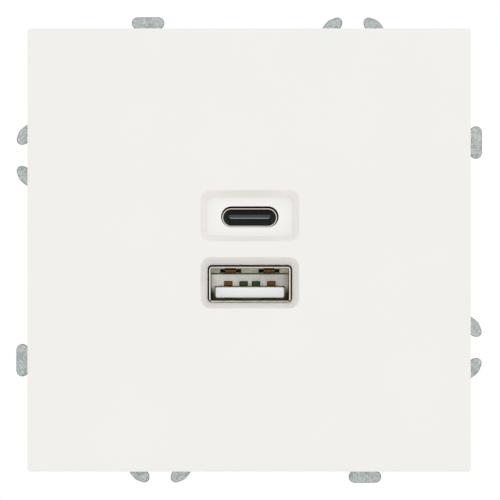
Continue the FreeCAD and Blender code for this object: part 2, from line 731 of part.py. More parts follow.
# Two long screws clamp the rear housing, the steel frame and the front housing.
HEAD_TOP = f"({HEAD_SEAT} + screw_head_deep)"
screws = []
for side in (1, -1):
    place = (f"{side} * screw_x", f"{side} * screw_z")
    shank_span = (f"{BITE_END} + screw_tip_gap", HEAD_SEAT)
    shank = rod("housing_screw_shank", "Y", "screw_core", shank_span, *place)
    head = rod("housing_screw_head", "Y", "screw_head", (HEAD_SEAT, HEAD_TOP), *place)
    cross = [
        block("cross_slot", centred(across, place[0]), (f"{HEAD_TOP} - drive_deep", HEAD_TOP),
              centred(up, place[1]))
        for across, up in (("drive_slot", "drive_cross"), ("drive_cross", "drive_slot"))
    ]
    screws.append(cut("housing_screw", fuse("housing_screw_blank", [shank, head]), cross))
housing_screws = group("housing_screws", screws)

# Terminal parts. Each screw is held under the cover and lifts its cage towards its head, so that the
# cage's floor presses the wire against the fixed contact bar.
CAGE_END = "(cage_start + cage_floor + cage_window + cage_thread_wall)"
HEAD_BACK = f"({COVER_START} - bar_gap)"
HEAD_FRONT = f"({HEAD_BACK} - terminal_screw_head_deep)"
CHAMBER_MIDDLE = f"({CHAMBER_LOW} + chamber_tall / 2)"
BAR_TOP = f"({CHAMBER_HIGH} + chamber_wall + bar_gap + bar_thick)"
cages = {}
terminal_screws = {}
bars = []
for side, wire in ((-1, "live"), (1, "neutral")):
    x = f"{side} * terminal_x"
    cage_block = block(f"cage_{wire}_block", centred("cage_wide", x), ("cage_start", CAGE_END),
                       centred("cage_long", CHAMBER_MIDDLE))
    window = block(f"cage_{wire}_window", centred("cage_wide - 2 * cage_side", x),
                   ("cage_start + cage_floor", "cage_start + cage_floor + cage_window"),
                   centred("cage_long", CHAMBER_MIDDLE))
    thread = rod(f"cage_{wire}_thread", "Y", "terminal_screw_core + screw_play",
                 ("cage_start + cage_floor + cage_window", CAGE_END), x, CHAMBER_MIDDLE)
    cages[wire] = cut(f"terminal_cage_{wire}", cage_block, [window, thread])
    shank = rod(f"terminal_screw_{wire}_shank", "Y", "terminal_screw_core",
                (f"{BAR_Y} + bar_thick + bar_gap / 2", HEAD_FRONT), x, CHAMBER_MIDDLE)
    head = rod(f"terminal_screw_{wire}_head", "Y", "terminal_screw_head", (HEAD_FRONT, HEAD_BACK), x,
               CHAMBER_MIDDLE)
    slot = block(f"terminal_screw_{wire}_slot", centred("2 * terminal_screw_head", x),
                 (f"{HEAD_BACK} - drive_deep", HEAD_BACK), centred("drive_slot", CHAMBER_MIDDLE))
    terminal_screws[wire] = cut(f"terminal_screw_{wire}",
                                fuse(f"terminal_screw_{wire}_blank", [shank, head]), [slot])
    bar_x = centred("bar_wide", x)
    along = block(f"bar_{wire}_along", bar_x, (BAR_Y, f"{BAR_Y} + bar_thick"),
                  (f"{CHAMBER_LOW} + bar_gap", BAR_TOP))
    forward = block(f"bar_{wire}_forward", bar_x, (MAIN_BOARD_BACK, f"{BAR_Y} + bar_thick"),
                    (f"{BAR_TOP} - bar_thick", BAR_TOP))
    bars.append(fuse(f"terminal_contact_{wire}", [along, forward]))
terminal_contacts = group("terminal_contacts", bars)
cover_plate = block("cover_plate", centred(f"{CHAMBERS_WIDE} - 2 * bar_gap"),
                    (COVER_START, "can_deep"),
                    (f"{CHAMBER_LOW} - cover_lap + bar_gap", f"{CHAMBER_HIGH} + chamber_wall - bar_gap"))
cover_holes = [rod("cover_hole", "Y", "cover_hole", (COVER_START, "can_deep"), f"{side} * terminal_x",
                   CHAMBER_MIDDLE) for side in (1, -1)]
terminal_cover = cut("terminal_cover", cover_plate, cover_holes)

# Circuit boards. Along Z the power board carries, from the terminals upwards, the rectifier and the fuse,
# the transformer, the board header and the line filter capacitor.
usb_span = ("usb_board_y", USB_BOARD_BACK)
main_span = (MAIN_BOARD, MAIN_BOARD_BACK)
FILM_Z = "(min(can_tall / 2; can_round - film_thick / 2) - can_wall - film_gap - film_thick / 2)"
HEADER_Z = f"(min({FILM_Z} - film_thick / 2 - header_gap; {USB_BOARD_TALL} / 2 - header_in))"
BRIDGE_Z = f"({BAR_TOP} + bridge_gap + bridge_long / 2)"
CORE_Z = f"(({BRIDGE_Z} + bridge_long / 2 + {HEADER_Z} - header_deep / 2) / 2)"
CORE_X = "(capacitor_in - capacitor_out)"
pin_places = [f"{step} * header_pitch" for step in (-1.5, -0.5, 0.5, 1.5)]


def pin_blocks(name, half, y):
    """One square bar along Y in every place of the board header."""
    return [block(name, centred(f"2 * {half}", x), y, centred(f"2 * {half}", HEADER_Z)) for x in pin_places]


peg_holes = [rod("peg_hole", "Y", "board_peg + 2 * screw_play", usb_span, f"{side} * {POST_X}",
                 f"-{side} * {POST_Z}") for side in (1, -1)]
usb_board = cut("usb_board", block("usb_board_blank", centred(USB_BOARD_WIDE), usb_span,
                                   centred(USB_BOARD_TALL)),
                peg_holes + pin_blocks("usb_pin_hole", "header_pin_hole", usb_span))
board_wide = block("main_board_wide", centred("can_wide - 2 * can_wall - 2 * board_gap"), main_span,
                   centred("2 * (screw_z - screw_column - board_gap)"))
board_tall = block("main_board_tall", centred("2 * (screw_x - screw_column - board_gap)"), main_span,
                   centred("can_tall - 2 * can_wall - 2 * board_gap"))
board_round = rod("main_board_round", "Y", "can_round - can_wall - board_gap", main_span, "0", "0")
board_blank = common("main_board_blank", fuse("main_board_cross", [board_wide, board_tall]), board_round)
main_board = cut("main_board", board_blank, pin_blocks("main_pin_hole", "header_pin_hole", main_span))

header_span = (USB_BOARD_BACK, MAIN_BOARD)
header_block = block("header_block", centred("4 * header_pitch"), header_span,
                     centred("header_deep", HEADER_Z))
board_header = cut("board_header", header_block, pin_blocks("header_hole", "header_pin_hole", header_span))
pin_span = ("usb_board_y - header_pin_out", f"{MAIN_BOARD_BACK} + header_pin_out")
header_pins = group("header_pins", pin_blocks("header_pin", "header_pin", pin_span))
usb_controller = group("usb_controller", [
    block("controller_chip", centred("chip_side", f"{side} * chip_x"),
          (USB_BOARD_BACK, f"{USB_BOARD_BACK} + chip_tall"), centred("chip_side"))
    for side in (1, -1)
])

# Transformer: a ferrite core round a wound coil former
CORE_START = f"({MAIN_BOARD_BACK} + core_lift)"
CORE_CENTRE = f"({CORE_START} + core_deep / 2)"
core_span = (CORE_START, f"{CORE_START} + core_deep")
WINDOW_LONG = "(core_long - core_leg)"
core_block = block("core_block", centred("core_wide", CORE_X), core_span, centred("core_long", CORE_Z))
WINDOW_X = "(core_leg + core_window) / 2"
core_windows = [
    block("core_window", centred("core_window", f"{CORE_X} + {side} * {WINDOW_X}"), core_span,
          centred(WINDOW_LONG, CORE_Z))
    for side in (1, -1)
]
transformer_core = cut("transformer_core", core_block, core_windows)
former_hole = block("former_hole", centred("core_leg + screw_play", CORE_X),
                    centred("core_deep + screw_play", CORE_CENTRE), centred("core_long", CORE_Z))
former_tube = block("former_tube", centred("core_leg + 2 * former_wall", CORE_X),
                    centred("core_deep + 2 * former_wall", CORE_CENTRE),
                    centred(f"{WINDOW_LONG} - 2 * bar_gap", CORE_Z))
flanges = []
for end in (1, -1):
    middle = f"{CORE_Z} + {end} * ({WINDOW_LONG} / 2 - bar_gap - flange / 2)"
    flanges.append(block("former_flange", centred("core_leg + 2 * core_window - 2 * bar_gap", CORE_X),
                         centred("flange_deep", CORE_CENTRE), centred("flange", middle)))
    flanges.append(block("former_foot", centred("core_leg + 2 * core_window - 2 * bar_gap", CORE_X),
                         (MAIN_BOARD_BACK, f"{CORE_CENTRE} - flange_deep / 2"),
                         centred("former_foot", middle)))
transformer_bobbin = cut("transformer_bobbin", fuse("former_blank", [former_tube] + flanges), [former_hole])
COIL_LONG = f"{WINDOW_LONG} - 2 * bar_gap - 2 * flange - bar_gap"
coil = block("coil", centred("core_leg + 2 * core_window - 4 * bar_gap", CORE_X),
             centred("flange_deep - 4 * bar_gap", CORE_CENTRE), centred(COIL_LONG, CORE_Z))
coil_hole = block("coil_hole", centred("core_leg + 2 * former_wall + bar_gap", CORE_X),
                  centred("core_deep + 2 * former_wall + bar_gap", CORE_CENTRE),
                  centred(COIL_LONG, CORE_Z))
transformer_winding = cut("transformer_winding", coil, [coil_hole])


def standing(name, radius, tall, x, z):
    """Round component that stands on the power board."""
    return rod(name, "Y", radius, (MAIN_BOARD_BACK, f"{MAIN_BOARD_BACK} + {tall}"), x, z)


def lying(name, wide, tall, long, x, z):
    """Boxed component on the power board."""
    return block(name, centred(wide, x), (MAIN_BOARD_BACK, f"{MAIN_BOARD_BACK} + {tall}"), centred(long, z))


input_capacitor = standing("input_capacitor", "capacitor_in", "capacitor_in_tall",
                           f"capacitor_in - {CAN_SIDE}", "capacitor_in_z")
output_capacitor = standing("output_capacitor", "capacitor_out", "capacitor_out_tall",
                            f"{CAN_SIDE} - capacitor_out", "capacitor_out_z")
line_filter_capacitor = lying("line_filter_capacitor", "film_wide", "film_deep", "film_thick", "0", FILM_Z)
line_choke = lying("line_choke", "choke_side", "choke_tall", "choke_side", f"{CAN_SIDE} - choke_side / 2",
                   "choke_z")
fuse_body = lying("fuse", "fuse_wide", "fuse_tall", "bridge_long", "fuse_x", BRIDGE_Z)
bridge_rectifier = lying("bridge_rectifier", "bridge_wide", "bridge_tall", "bridge_long", "bridge_x",
                         BRIDGE_Z)
optocoupler = lying("optocoupler", "opto_wide", "opto_tall", "opto_long", "opto_x", "opto_z")
DISC_Y = f"({MAIN_BOARD_BACK} + disc_lift + disc_round)"
disc = rod("disc", "X", "disc_round", centred("disc_thick", "disc_x"), DISC_Y, "disc_z")
leads = [
    block("disc_lead", centred("2 * lead", "disc_x"), (MAIN_BOARD_BACK, DISC_Y),
          centred("2 * lead", f"disc_z + {side} * disc_round / 2"))
    for side in (1, -1)
]
safety_capacitor = fuse("safety_capacitor", [disc] + leads)

# USB-A receptacle: a folded shell with spring fingers, an insulator with the tongue, and four contacts
a_span = (USB_A_FRONT, "usb_board_y")
a_tube = rounded_prism("usb_a_tube", "usb_a_wide", "usb_a_tall", "usb_a_corner", a_span, "ports_x", A_Z)
a_bore = rounded_prism("usb_a_bore", "usb_a_wide - 2 * usb_a_wall", "usb_a_tall - 2 * usb_a_wall",
                       "usb_a_corner - usb_a_wall", a_span, "ports_x", A_Z)
A_ROOF = f"({A_Z} + usb_a_tall / 2 - usb_a_wall)"
A_FLOOR = f"({A_Z} - usb_a_tall / 2 + usb_a_wall)"
A_BACK = "(usb_board_y - usb_a_block_deep)"
A_BLOCK = f"({A_BACK} + 2 * usb_a_wall)"
SPRING_START = f"({USB_A_FRONT} + spring_slot_start)"
SPRING_END = f"({SPRING_START} + spring_slot_long)"
slots = []
fingers = []
for side in (1, -1):
    x = f"ports_x + {side} * spring_place"
    for level in (1, -1):
        wall_in = A_ROOF if level > 0 else A_FLOOR
        wall_out = f"({wall_in} + {level} * usb_a_wall)"
        slot_z = (wall_in, wall_out) if level > 0 else (wall_out, wall_in)
        slot_y = (SPRING_START, SPRING_END)
        slots.append(block("spring_slot", centred("spring_slot_wide", x), slot_y, slot_z))
        drop = "spring_drop" if level > 0 else "-spring_drop_low"
        knee = f"{SPRING_END} - spring_knee"
        free_end = f"{SPRING_START} + usb_a_wall"
        shape = [
            (SPRING_END, wall_out),
            (knee, f"{wall_out} - {drop}"),
            (free_end, f"{wall_out} - {drop} / 2"),
            (free_end, f"{wall_in} - {drop} / 2"),
            (knee, f"{wall_in} - {drop}"),
            (SPRING_END, wall_in),
        ]
        fingers.append(prism("spring_finger", "YZ", shape, centred("spring_wide", x)))
A_TONGUE_LOW = f"({A_FLOOR} + tongue_a_floor_gap)"
A_TONGUE_TOP = f"({A_TONGUE_LOW} + tongue_a_thick)"
block_a = common(
    "usb_a_block",
    rounded_prism("usb_a_block_round", "usb_a_wide - 2 * usb_a_wall - 2 * moulding_play",
                  "usb_a_tall - 2 * usb_a_wall - 2 * moulding_play", "usb_a_corner - usb_a_wall",
                  (A_BLOCK, "usb_board_y"), "ports_x", A_Z),
    block("usb_a_block_top", centred("usb_a_wide", "ports_x"), (A_BLOCK, "usb_board_y"),
          (f"{A_FLOOR}", f"{A_ROOF} - usb_a_roof_band")))
tongue_a = block("usb_a_tongue", centred("tongue_a_wide", "ports_x"),
                 (f"{USB_A_FRONT} + tongue_a_back", A_BLOCK), (A_TONGUE_LOW, A_TONGUE_TOP))
plate_span = (A_BACK, A_BLOCK)
plate_taken = [
    block("tongue_window", centred("tongue_a_wide + 2 * moulding_play", "ports_x"), plate_span,
          (f"{A_TONGUE_LOW} - moulding_play", f"{A_TONGUE_TOP} + moulding_play")),
]
CONTACT_LOW = f"({A_TONGUE_TOP} + contact_a_lift)"
contact_slots = []
contacts = []
for place in ("-contact_a_outer", "-contact_a_inner", "contact_a_inner", "contact_a_outer"):
    place = f"ports_x + {place}"
    contact_slots.append(block("contact_slot", centred("contact_a_wide + 2 * contact_play", place),
                               (A_BLOCK, "usb_board_y"), (CONTACT_LOW, f"{CONTACT_LOW} + contact_a_slot")))
    top = f"({CONTACT_LOW} + contact_a_slot - contact_play)"
    bottom = f"({top} - contact_a_thick)"
    toe_low = f"({A_TONGUE_TOP} + contact_play)"
    toe_top = f"({toe_low} + contact_a_thick)"
    window_x = centred("contact_a_wide + 4 * contact_play", place)
    plate_taken.append(block("contact_window", window_x, plate_span,
                             (A_TONGUE_TOP, f"{CONTACT_LOW} + contact_a_slot + contact_play")))
    knee = f"({A_BACK} - contact_a_flat)"
    ankle = f"({knee} - contact_a_ramp)"
    shape = [
        ("usb_board_y", bottom),
        ("usb_board_y", top),
        (knee, top),
        (ankle, toe_top),
        (f"{ankle} - contact_a_toe", toe_top),
        (f"{ankle} - contact_a_toe", toe_low),
        (ankle, toe_low),
        (knee, bottom),
    ]
    contacts.append(prism("usb_a_contact", "YZ", shape, centred("contact_a_wide", place)))
usb_a_insulator = cut("usb_a_insulator", fuse("usb_a_moulding", [block_a, tongue_a]), contact_slots)
usb_a_contacts = group("usb_a_contacts", contacts)

# The shell's back: a plate with windows for the tongue and the contacts, and a darker lip folded down before
# it, whose two slots are left by the upper springs.
for side in (1, -1):
    slot_x = centred("spring_slot_wide", f"ports_x + {side} * spring_place")
    plate_taken.append(block("lip_slot", slot_x, plate_span,
                             (f"{A_ROOF} - lip_slot_top - lip_slot_tall", f"{A_ROOF} - lip_slot_top")))
back_x = centred("usb_a_wide - 2 * usb_a_wall", "ports_x")
back_lip = block("usb_a_lip", back_x, (A_BACK, f"{A_BACK} + usb_a_wall"),
                 (f"{A_ROOF} - usb_a_roof_band", f"{A_ROOF} + usb_a_wall / 2"))
back_plate = block("usb_a_back_plate", back_x, (f"{A_BACK} + usb_a_wall", A_BLOCK),
                   (f"{A_FLOOR} - usb_a_wall / 2", f"{A_ROOF} + usb_a_wall / 2"))
back_blank = fuse("usb_a_back_blank", [back_lip, back_plate])
back = common("usb_a_back", cut("usb_a_back_cut", back_blank, plate_taken), a_tube)
usb_a_shell = fuse("usb_a_shell", [cut("usb_a_slotted", a_tube, [a_bore] + slots), back] + fingers)

# USB-C receptacle: a drawn shell round an insulator with a thin tongue that has contacts on both sides
c_span = (NOSE_FACE, "usb_board_y")
c_tube = obround("usb_c_tube", "X", "usb_c_wide", "usb_c_tall", c_span, C_X, C_Z)
c_bore = obround("usb_c_bore", "X", "usb_c_wide - 2 * usb_c_wall", "usb_c_tall - 2 * usb_c_wall", c_span,
                 C_X, C_Z)
usb_c_shell = cut("usb_c_shell", c_tube, [c_bore])
C_BLOCK = "(usb_board_y - usb_c_block_deep)"
block_c = obround("usb_c_block", "X", "usb_c_wide - 2 * (usb_c_wall + moulding_play)",
                  "usb_c_tall - 2 * (usb_c_wall + moulding_play)",
                  (C_BLOCK, "usb_board_y"), C_X, C_Z)
TONGUE_C_Z = f"({C_Z} + tongue_c_lift)"
tongue_c = block("usb_c_tongue", centred("tongue_c_wide", C_X), (f"{NOSE_FACE} + tongue_c_back", C_BLOCK),
                 centred("tongue_c_thick", TONGUE_C_Z))
usb_c_insulator = fuse("usb_c_insulator", [block_c, tongue_c])
pads = []
for level in (1, -1):
    surface = f"({TONGUE_C_Z} + {level} * tongue_c_thick / 2)"
    outer = f"({surface} + {level} * contact_c_proud)"
    pad_z = (surface, outer) if level > 0 else (outer, surface)
    for step in range(12):
        place = f"{C_X} + {step - 5.5} * contact_c_pitch"
        pads.append(block("usb_c_contact", centred("contact_c_wide", place),
                          (f"{NOSE_FACE} + tongue_c_back + contact_c_pitch",
                           f"{NOSE_FACE} + tongue_c_back + contact_c_pitch + contact_c_long"), pad_z))
usb_c_contacts = group("usb_c_contacts", pads)

# Spreader claws: bent sheet with a lug for the screw, a leg and a toothed foot, hung on nibs in the ears
LEG_IN = f"({CLAW_X} - claw_thick / 2)"
LEG_OUT = f"({CLAW_X} + claw_thick / 2)"
LUG_FRONT = "(claw_pivot_y - claw_thick / 2)"
LUG_BACK = "(claw_pivot_y + claw_thick / 2)"
LUG_END = f"({CLAW_X} + claw_lug_reach)"
FOOT_END = f"({CLAW_X} + claw_foot_reach)"
claws = {}
claw_screws = {}
for side, hand in ((1, "right"), (-1, "left")):
    profile = [
        (LEG_IN, f"{LUG_FRONT} + claw_bend"),
        (f"{LEG_IN} + claw_bend", LUG_FRONT),
        (LUG_END, LUG_FRONT),
        (LUG_END, LUG_BACK),
        (LEG_OUT, LUG_BACK),
        (LEG_OUT, "claw_end - claw_thick"),
        (FOOT_END, "claw_end - claw_thick"),
        (FOOT_END, "claw_end"),
        (f"{LEG_IN} + claw_bend", "claw_end"),
        (LEG_IN, "claw_end - claw_bend"),
    ]
    outline = [(f"{side} * ({x})", y) for x, y in profile]
    strip = prism(f"claw_{hand}_strip", "XY", outline, centred("claw_wide"))
    nibs = block(f"claw_{hand}_nibs", centred("2 * claw_nib", f"{side} * {CLAW_X}"),
                 centred("2 * claw_nib", "claw_pivot_y"), centred(f"2 * {EAR_FAR} + 2 * ear_gap"))
    leg = (f"{side} * {LEG_IN}", f"{side} * {LEG_OUT}")
    window = block(f"claw_{hand}_window", leg if side > 0 else leg[::-1],
                   ("claw_window_start", "claw_window_end"), centred("claw_window_wide"))
    slot = obround(f"claw_{hand}_slot", "X",
                   "2 * (claw_screw_core + claw_screw_play) + claw_slot_in + claw_slot_out",
                   "2 * (claw_screw_core + claw_screw_play)", (LUG_FRONT, LUG_BACK),
                   f"{side} * ({CLAW_SCREW_X} + (claw_slot_out - claw_slot_in) / 2)", "0")
    teeth = []
    for step in (-1.5, -0.5, 0.5, 1.5):
        middle = f"{step} * claw_wide / 4"
        notch = [
            (f"{side} * ({FOOT_END} - claw_tooth)", middle),
            (f"{side} * {FOOT_END}", f"{middle} - claw_tooth"),
            (f"{side} * {FOOT_END}", f"{middle} + claw_tooth"),
        ]
        teeth.append(prism(f"claw_{hand}_notch", "XZ", notch, ("claw_end - claw_thick", "claw_end")))
    blank = fuse(f"claw_{hand}_blank", [strip, nibs])
    claws[hand] = cut(f"claw_{hand}", blank, [window, slot] + teeth)

    x = f"{side} * {CLAW_SCREW_X}"
    head_front = f"({STEEL_FRONT} - claw_screw_head_deep)"
    head = rod(f"claw_screw_{hand}_head", "Y", "claw_screw_head", (head_front, STEEL_FRONT), x, "0")
    shank = rod(f"claw_screw_{hand}_shank", "Y", "claw_screw_core",
                (STEEL_FRONT, f"{STEEL_FRONT} + claw_screw_long"), x, "0")
    slot_x, slot_z = centred("2 * claw_screw_head", x), centred("drive_slot")
    drive = block(f"claw_screw_{hand}_drive", slot_x, (head_front, f"{head_front} + drive_deep"), slot_z)
    claw_screws[hand] = cut(f"claw_screw_{hand}", fuse(f"claw_screw_{hand}_blank", [head, shank]), [drive])

NODES = [
    centre_plate, support_frame, front_housing, rear_housing, housing_screws,
    usb_a_shell, usb_a_insulator, usb_a_contacts,
    usb_c_shell, usb_c_insulator, usb_c_contacts,
    usb_board, usb_controller, board_header, header_pins, main_board,
    transformer_core, transformer_bobbin, transformer_winding,
    input_capacitor, output_capacitor, line_filter_capacitor, line_choke,
    fuse_body, bridge_rectifier, optocoupler, safety_capacitor,
    terminal_contacts, terminal_cover,
    cages["live"], cages["neutral"], terminal_screws["live"], terminal_screws["neutral"],
    claws["left"], claws["right"], claw_screws["left"], claw_screws["right"],
]

doc.recompute()
for item in doc.Objects:
    if "Invalid" in item.State or "Error" in item.State:
        raise RuntimeError(f"{item.Label} failed: {item.State}")
for item in NODES:
    if item.Shape.isNull() or not item.Shape.isValid():
        raise RuntimeError(f"{item.Label} has no valid shape")
for item in NODES:
    item.Shape.exportStep(f"parts/{item.Label}.step")
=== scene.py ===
import bmesh
import bpy
import json
import math
from mathutils import Matrix, Vector

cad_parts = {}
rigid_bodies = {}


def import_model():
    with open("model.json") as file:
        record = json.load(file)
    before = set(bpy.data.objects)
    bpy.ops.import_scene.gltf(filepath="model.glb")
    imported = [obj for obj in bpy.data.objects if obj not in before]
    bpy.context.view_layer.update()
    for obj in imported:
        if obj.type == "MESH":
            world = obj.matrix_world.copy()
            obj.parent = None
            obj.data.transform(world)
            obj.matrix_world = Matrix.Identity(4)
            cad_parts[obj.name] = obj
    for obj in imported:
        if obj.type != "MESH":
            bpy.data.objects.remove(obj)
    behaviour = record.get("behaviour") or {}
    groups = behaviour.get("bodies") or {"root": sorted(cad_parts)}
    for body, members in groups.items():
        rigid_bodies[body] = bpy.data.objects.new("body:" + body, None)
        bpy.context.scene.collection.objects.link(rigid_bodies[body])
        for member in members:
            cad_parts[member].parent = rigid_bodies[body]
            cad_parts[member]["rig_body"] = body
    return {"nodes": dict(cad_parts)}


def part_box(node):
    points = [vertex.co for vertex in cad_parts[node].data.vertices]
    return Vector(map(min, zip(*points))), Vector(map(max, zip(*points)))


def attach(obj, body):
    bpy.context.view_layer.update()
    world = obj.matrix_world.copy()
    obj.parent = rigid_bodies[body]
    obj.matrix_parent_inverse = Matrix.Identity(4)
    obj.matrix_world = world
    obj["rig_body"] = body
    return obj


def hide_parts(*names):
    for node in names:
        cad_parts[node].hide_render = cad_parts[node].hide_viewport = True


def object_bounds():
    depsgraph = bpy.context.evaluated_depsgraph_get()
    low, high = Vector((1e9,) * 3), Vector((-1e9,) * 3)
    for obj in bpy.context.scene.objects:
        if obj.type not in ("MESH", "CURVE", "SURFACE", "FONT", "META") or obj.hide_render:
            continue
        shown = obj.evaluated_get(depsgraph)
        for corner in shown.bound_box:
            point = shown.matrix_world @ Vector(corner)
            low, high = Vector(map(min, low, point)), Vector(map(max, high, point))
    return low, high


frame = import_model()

cad_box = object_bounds()

# Studio: a plain white room with a pale floor well below the socket, which hangs as it does on its wall.
# The walls give most of the light. A large soft lamp stands in front and above, and a stronger one behind.
# The camera looks straight at the plate from 0.8 m, so near that the funnel walls of the ports just show.
MM = 0.001
PHOTO_PIXELS = 500
PLATE_PIXELS = 443.5
PLATE_CENTRE_PIXEL = 249.13
CAMERA_DISTANCE = 0.8
SENSOR = 36.0
FLOOR_DROP = 0.12
FLOOR_REACH = 1.2
ROOM_LIGHT = 0.975
ROLLER_MARK = 8 * MM


def linear(code):
    """Turns an sRGB hex colour into the linear one that a shader takes."""
    channels = [int(code[start:start + 2], 16) / 255 for start in (1, 3, 5)]
    return [c / 12.92 if c <= 0.04045 else ((c + 0.055) / 1.055) ** 2.4 for c in channels] + [1.0]


def add(tree, kind, inputs=None, into=None, **settings):
    """Adds one node, sets its options, feeds its sockets with values or links, and links its first output."""
    node = tree.nodes.new(kind)
    for option, value in settings.items():
        setattr(node, option, value)
    for socket, value in (inputs or {}).items():
        if isinstance(value, bpy.types.NodeSocket):
            tree.links.new(value, node.inputs[socket])
        else:
            node.inputs[socket].default_value = value
    if into is not None:
        tree.links.new(node.outputs[0], into)
    return node


def surface(name, **sockets):
    """Starts a material: returns it, its tree, its shader and the Object coordinates of its patterns."""
    material = bpy.data.materials.new(name)
    material.use_nodes = True
    tree = material.node_tree
    shader = tree.nodes["Principled BSDF"]
    for socket, value in sockets.items():
        shader.inputs[socket.replace("_", " ")].default_value = value
    place = add(tree, "ShaderNodeTexCoord").outputs["Object"]
    return material, tree, shader, place


plate_low, plate_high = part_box("centre_plate")
pixel = (plate_high.x - plate_low.x) / PLATE_PIXELS
camera = bpy.data.objects.new("camera", bpy.data.cameras.new("camera"))
camera.data.sensor_width = SENSOR
camera.data.lens = SENSOR * CAMERA_DISTANCE / (PHOTO_PIXELS * pixel)
camera.location = ((PHOTO_PIXELS / 2 - PLATE_CENTRE_PIXEL) * pixel, plate_low.y - CAMERA_DISTANCE, 0)
camera.rotation_euler = (math.radians(90), 0, 0)
bpy.context.scene.collection.objects.link(camera)
bpy.context.scene.camera = camera
bpy.context.scene.view_settings.view_transform = "Standard"

world = bpy.data.worlds.new("white room")
world.use_nodes = True
tree = world.node_tree
rays = add(tree, "ShaderNodeLightPath")
seen = add(tree, "ShaderNodeMath", {0: rays.outputs["Is Camera Ray"], 1: rays.outputs["Is Glossy Ray"]},
           operation="MAXIMUM")
seen = add(tree, "ShaderNodeMath", {0: seen.outputs[0], 1: rays.outputs["Is Transmission Ray"]},
           operation="MAXIMUM")
add(tree, "ShaderNodeMapRange", {"Value": seen.outputs[0], "To Min": ROOM_LIGHT, "To Max": 1.0},
    into=tree.nodes["Background"].inputs["Strength"])
tree.nodes["Background"].inputs["Color"].default_value = linear("#FFFFFF")
bpy.context.scene.world = world

for name, place, size, power in (
    ("key lamp", (0.45, -1.0, 0.70), 0.9, 0.9),
    ("rear lamp", (-0.7, 1.1, 0.6), 0.9, 3.0),
):
    lamp = bpy.data.objects.new(name, bpy.data.lights.new(name, "AREA"))
    lamp.data.size = size
    lamp.data.energy = power
    lamp.location = place
    lamp.rotation_euler = (-Vector(place)).to_track_quat("-Z", "Y").to_euler()
    bpy.context.scene.collection.objects.link(lamp)

floor_height = cad_box[0].z - FLOOR_DROP
corners = [(x * FLOOR_REACH, y * FLOOR_REACH, floor_height) for x, y in ((-1, -1), (1, -1), (1, 1), (-1, 1))]
floor_mesh = bpy.data.meshes.new("studio_floor")
floor_mesh.from_pydata(corners, [], [(0, 1, 2, 3)])
studio_floor = bpy.data.objects.new("studio_floor", floor_mesh)
bpy.context.scene.collection.objects.link(studio_floor)

# Matt emulsion, rolled on: no shine, and a faint drift of tone from the roller.
floor_paint, tree, shader, place = surface("matt white floor paint", Roughness=0.9)
roller = add(tree, "ShaderNodeTexNoise", {"Vector": place, "Scale": 1 / ROLLER_MARK})
floor_tint = add(tree, "ShaderNodeMix", {
    0: roller.outputs["Fac"], 6: linear("#FBFBFA"), 7: linear("#F7F7F6")}, data_type="RGBA")
tree.links.new(floor_tint.outputs[2], shader.inputs["Base Color"])
floor_mesh.materials.append(floor_paint)

# Centre plate: a square cover of white polycarbonate, injection moulded, clipped on with four hooks behind.
# Its mould was spark eroded to a fine even texture, which leaves a soft sheen and no mirror image.
# Every moulded edge has a small radius, and the two funnels lead the plugs to their sockets.
PLATE_EDGE = 0.12 * MM
MOULD_GRAIN = 0.18 * MM
MOULD_DRIFT = 14 * MM
FUNNEL_START = 0.05 * MM
FUNNEL_DEEP = 2.1 * MM
FUNNEL_REACH = 12 * MM
SAME_POINT = 0.0005 * MM
HAIR = 0.02 * MM  # play in every test of a place
FLAT_TURN = 1  # degrees, as all turns
SQUARE_TURN = 80


def mottled(name, cell, tints, gloss, **sockets):
    """A material whose colour and roughness drift between two values, over patches of one size."""
    material, tree, shader, place = surface(name, **sockets)
    cloud = add(tree, "ShaderNodeTexNoise", {"Vector": place, "Scale": 1 / cell, "Detail": 3}).outputs["Fac"]
    tint = add(tree, "ShaderNodeMix", {0: cloud, 6: linear(tints[0]), 7: linear(tints[1])}, data_type="RGBA")
    tree.links.new(tint.outputs[2], shader.inputs["Base Color"])
    add(tree, "ShaderNodeMapRange", {"Value": cloud, "To Min": gloss[0], "To Max": gloss[1]},
        into=shader.inputs["Roughness"])
    return material, tree, shader, place, cloud


def joined(node, keep=None):
    """A mesh in which a CAD node's loose triangles are merged.
    Where keep is given, only the faces whose centre it accepts are taken."""
    shape = bmesh.new()
    shape.from_mesh(frame["nodes"][node].data)
    bmesh.ops.remove_doubles(shape, verts=shape.verts, dist=SAME_POINT)
    if keep:
        spare = [face for face in shape.faces if not keep(face.calc_center_median())]
        bmesh.ops.delete(shape, geom=spare, context="FACES")
    mesh = bpy.data.meshes.new(node)
    shape.to_mesh(mesh)
    shape.free()
    return mesh


def smoothed(mesh, sharp):
    """Shades a mesh smooth, except at edges that turn by more than the given degrees."""
    shape = bmesh.new()
    shape.from_mesh(mesh)
    for face in shape.faces:
        face.smooth = True
    for edge in shape.edges:
        edge.smooth = edge.calc_face_angle(0) < math.radians(sharp)
    shape.to_mesh(mesh)
    shape.free()


def fixed(piece):
    """Turns a piece's modifiers into plain mesh."""
    bpy.context.view_layer.update()
    depsgraph = bpy.context.evaluated_depsgraph_get()
    mesh = bpy.data.meshes.new_from_object(piece.evaluated_get(depsgraph), depsgraph=depsgraph)
    piece.modifiers.clear()
    piece.data = mesh


def standing_for(piece, node):
    """Lets a piece move with the CAD node that it stands for, and hides that node."""
    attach(piece, frame["nodes"][node]["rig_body"])
    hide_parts(node)


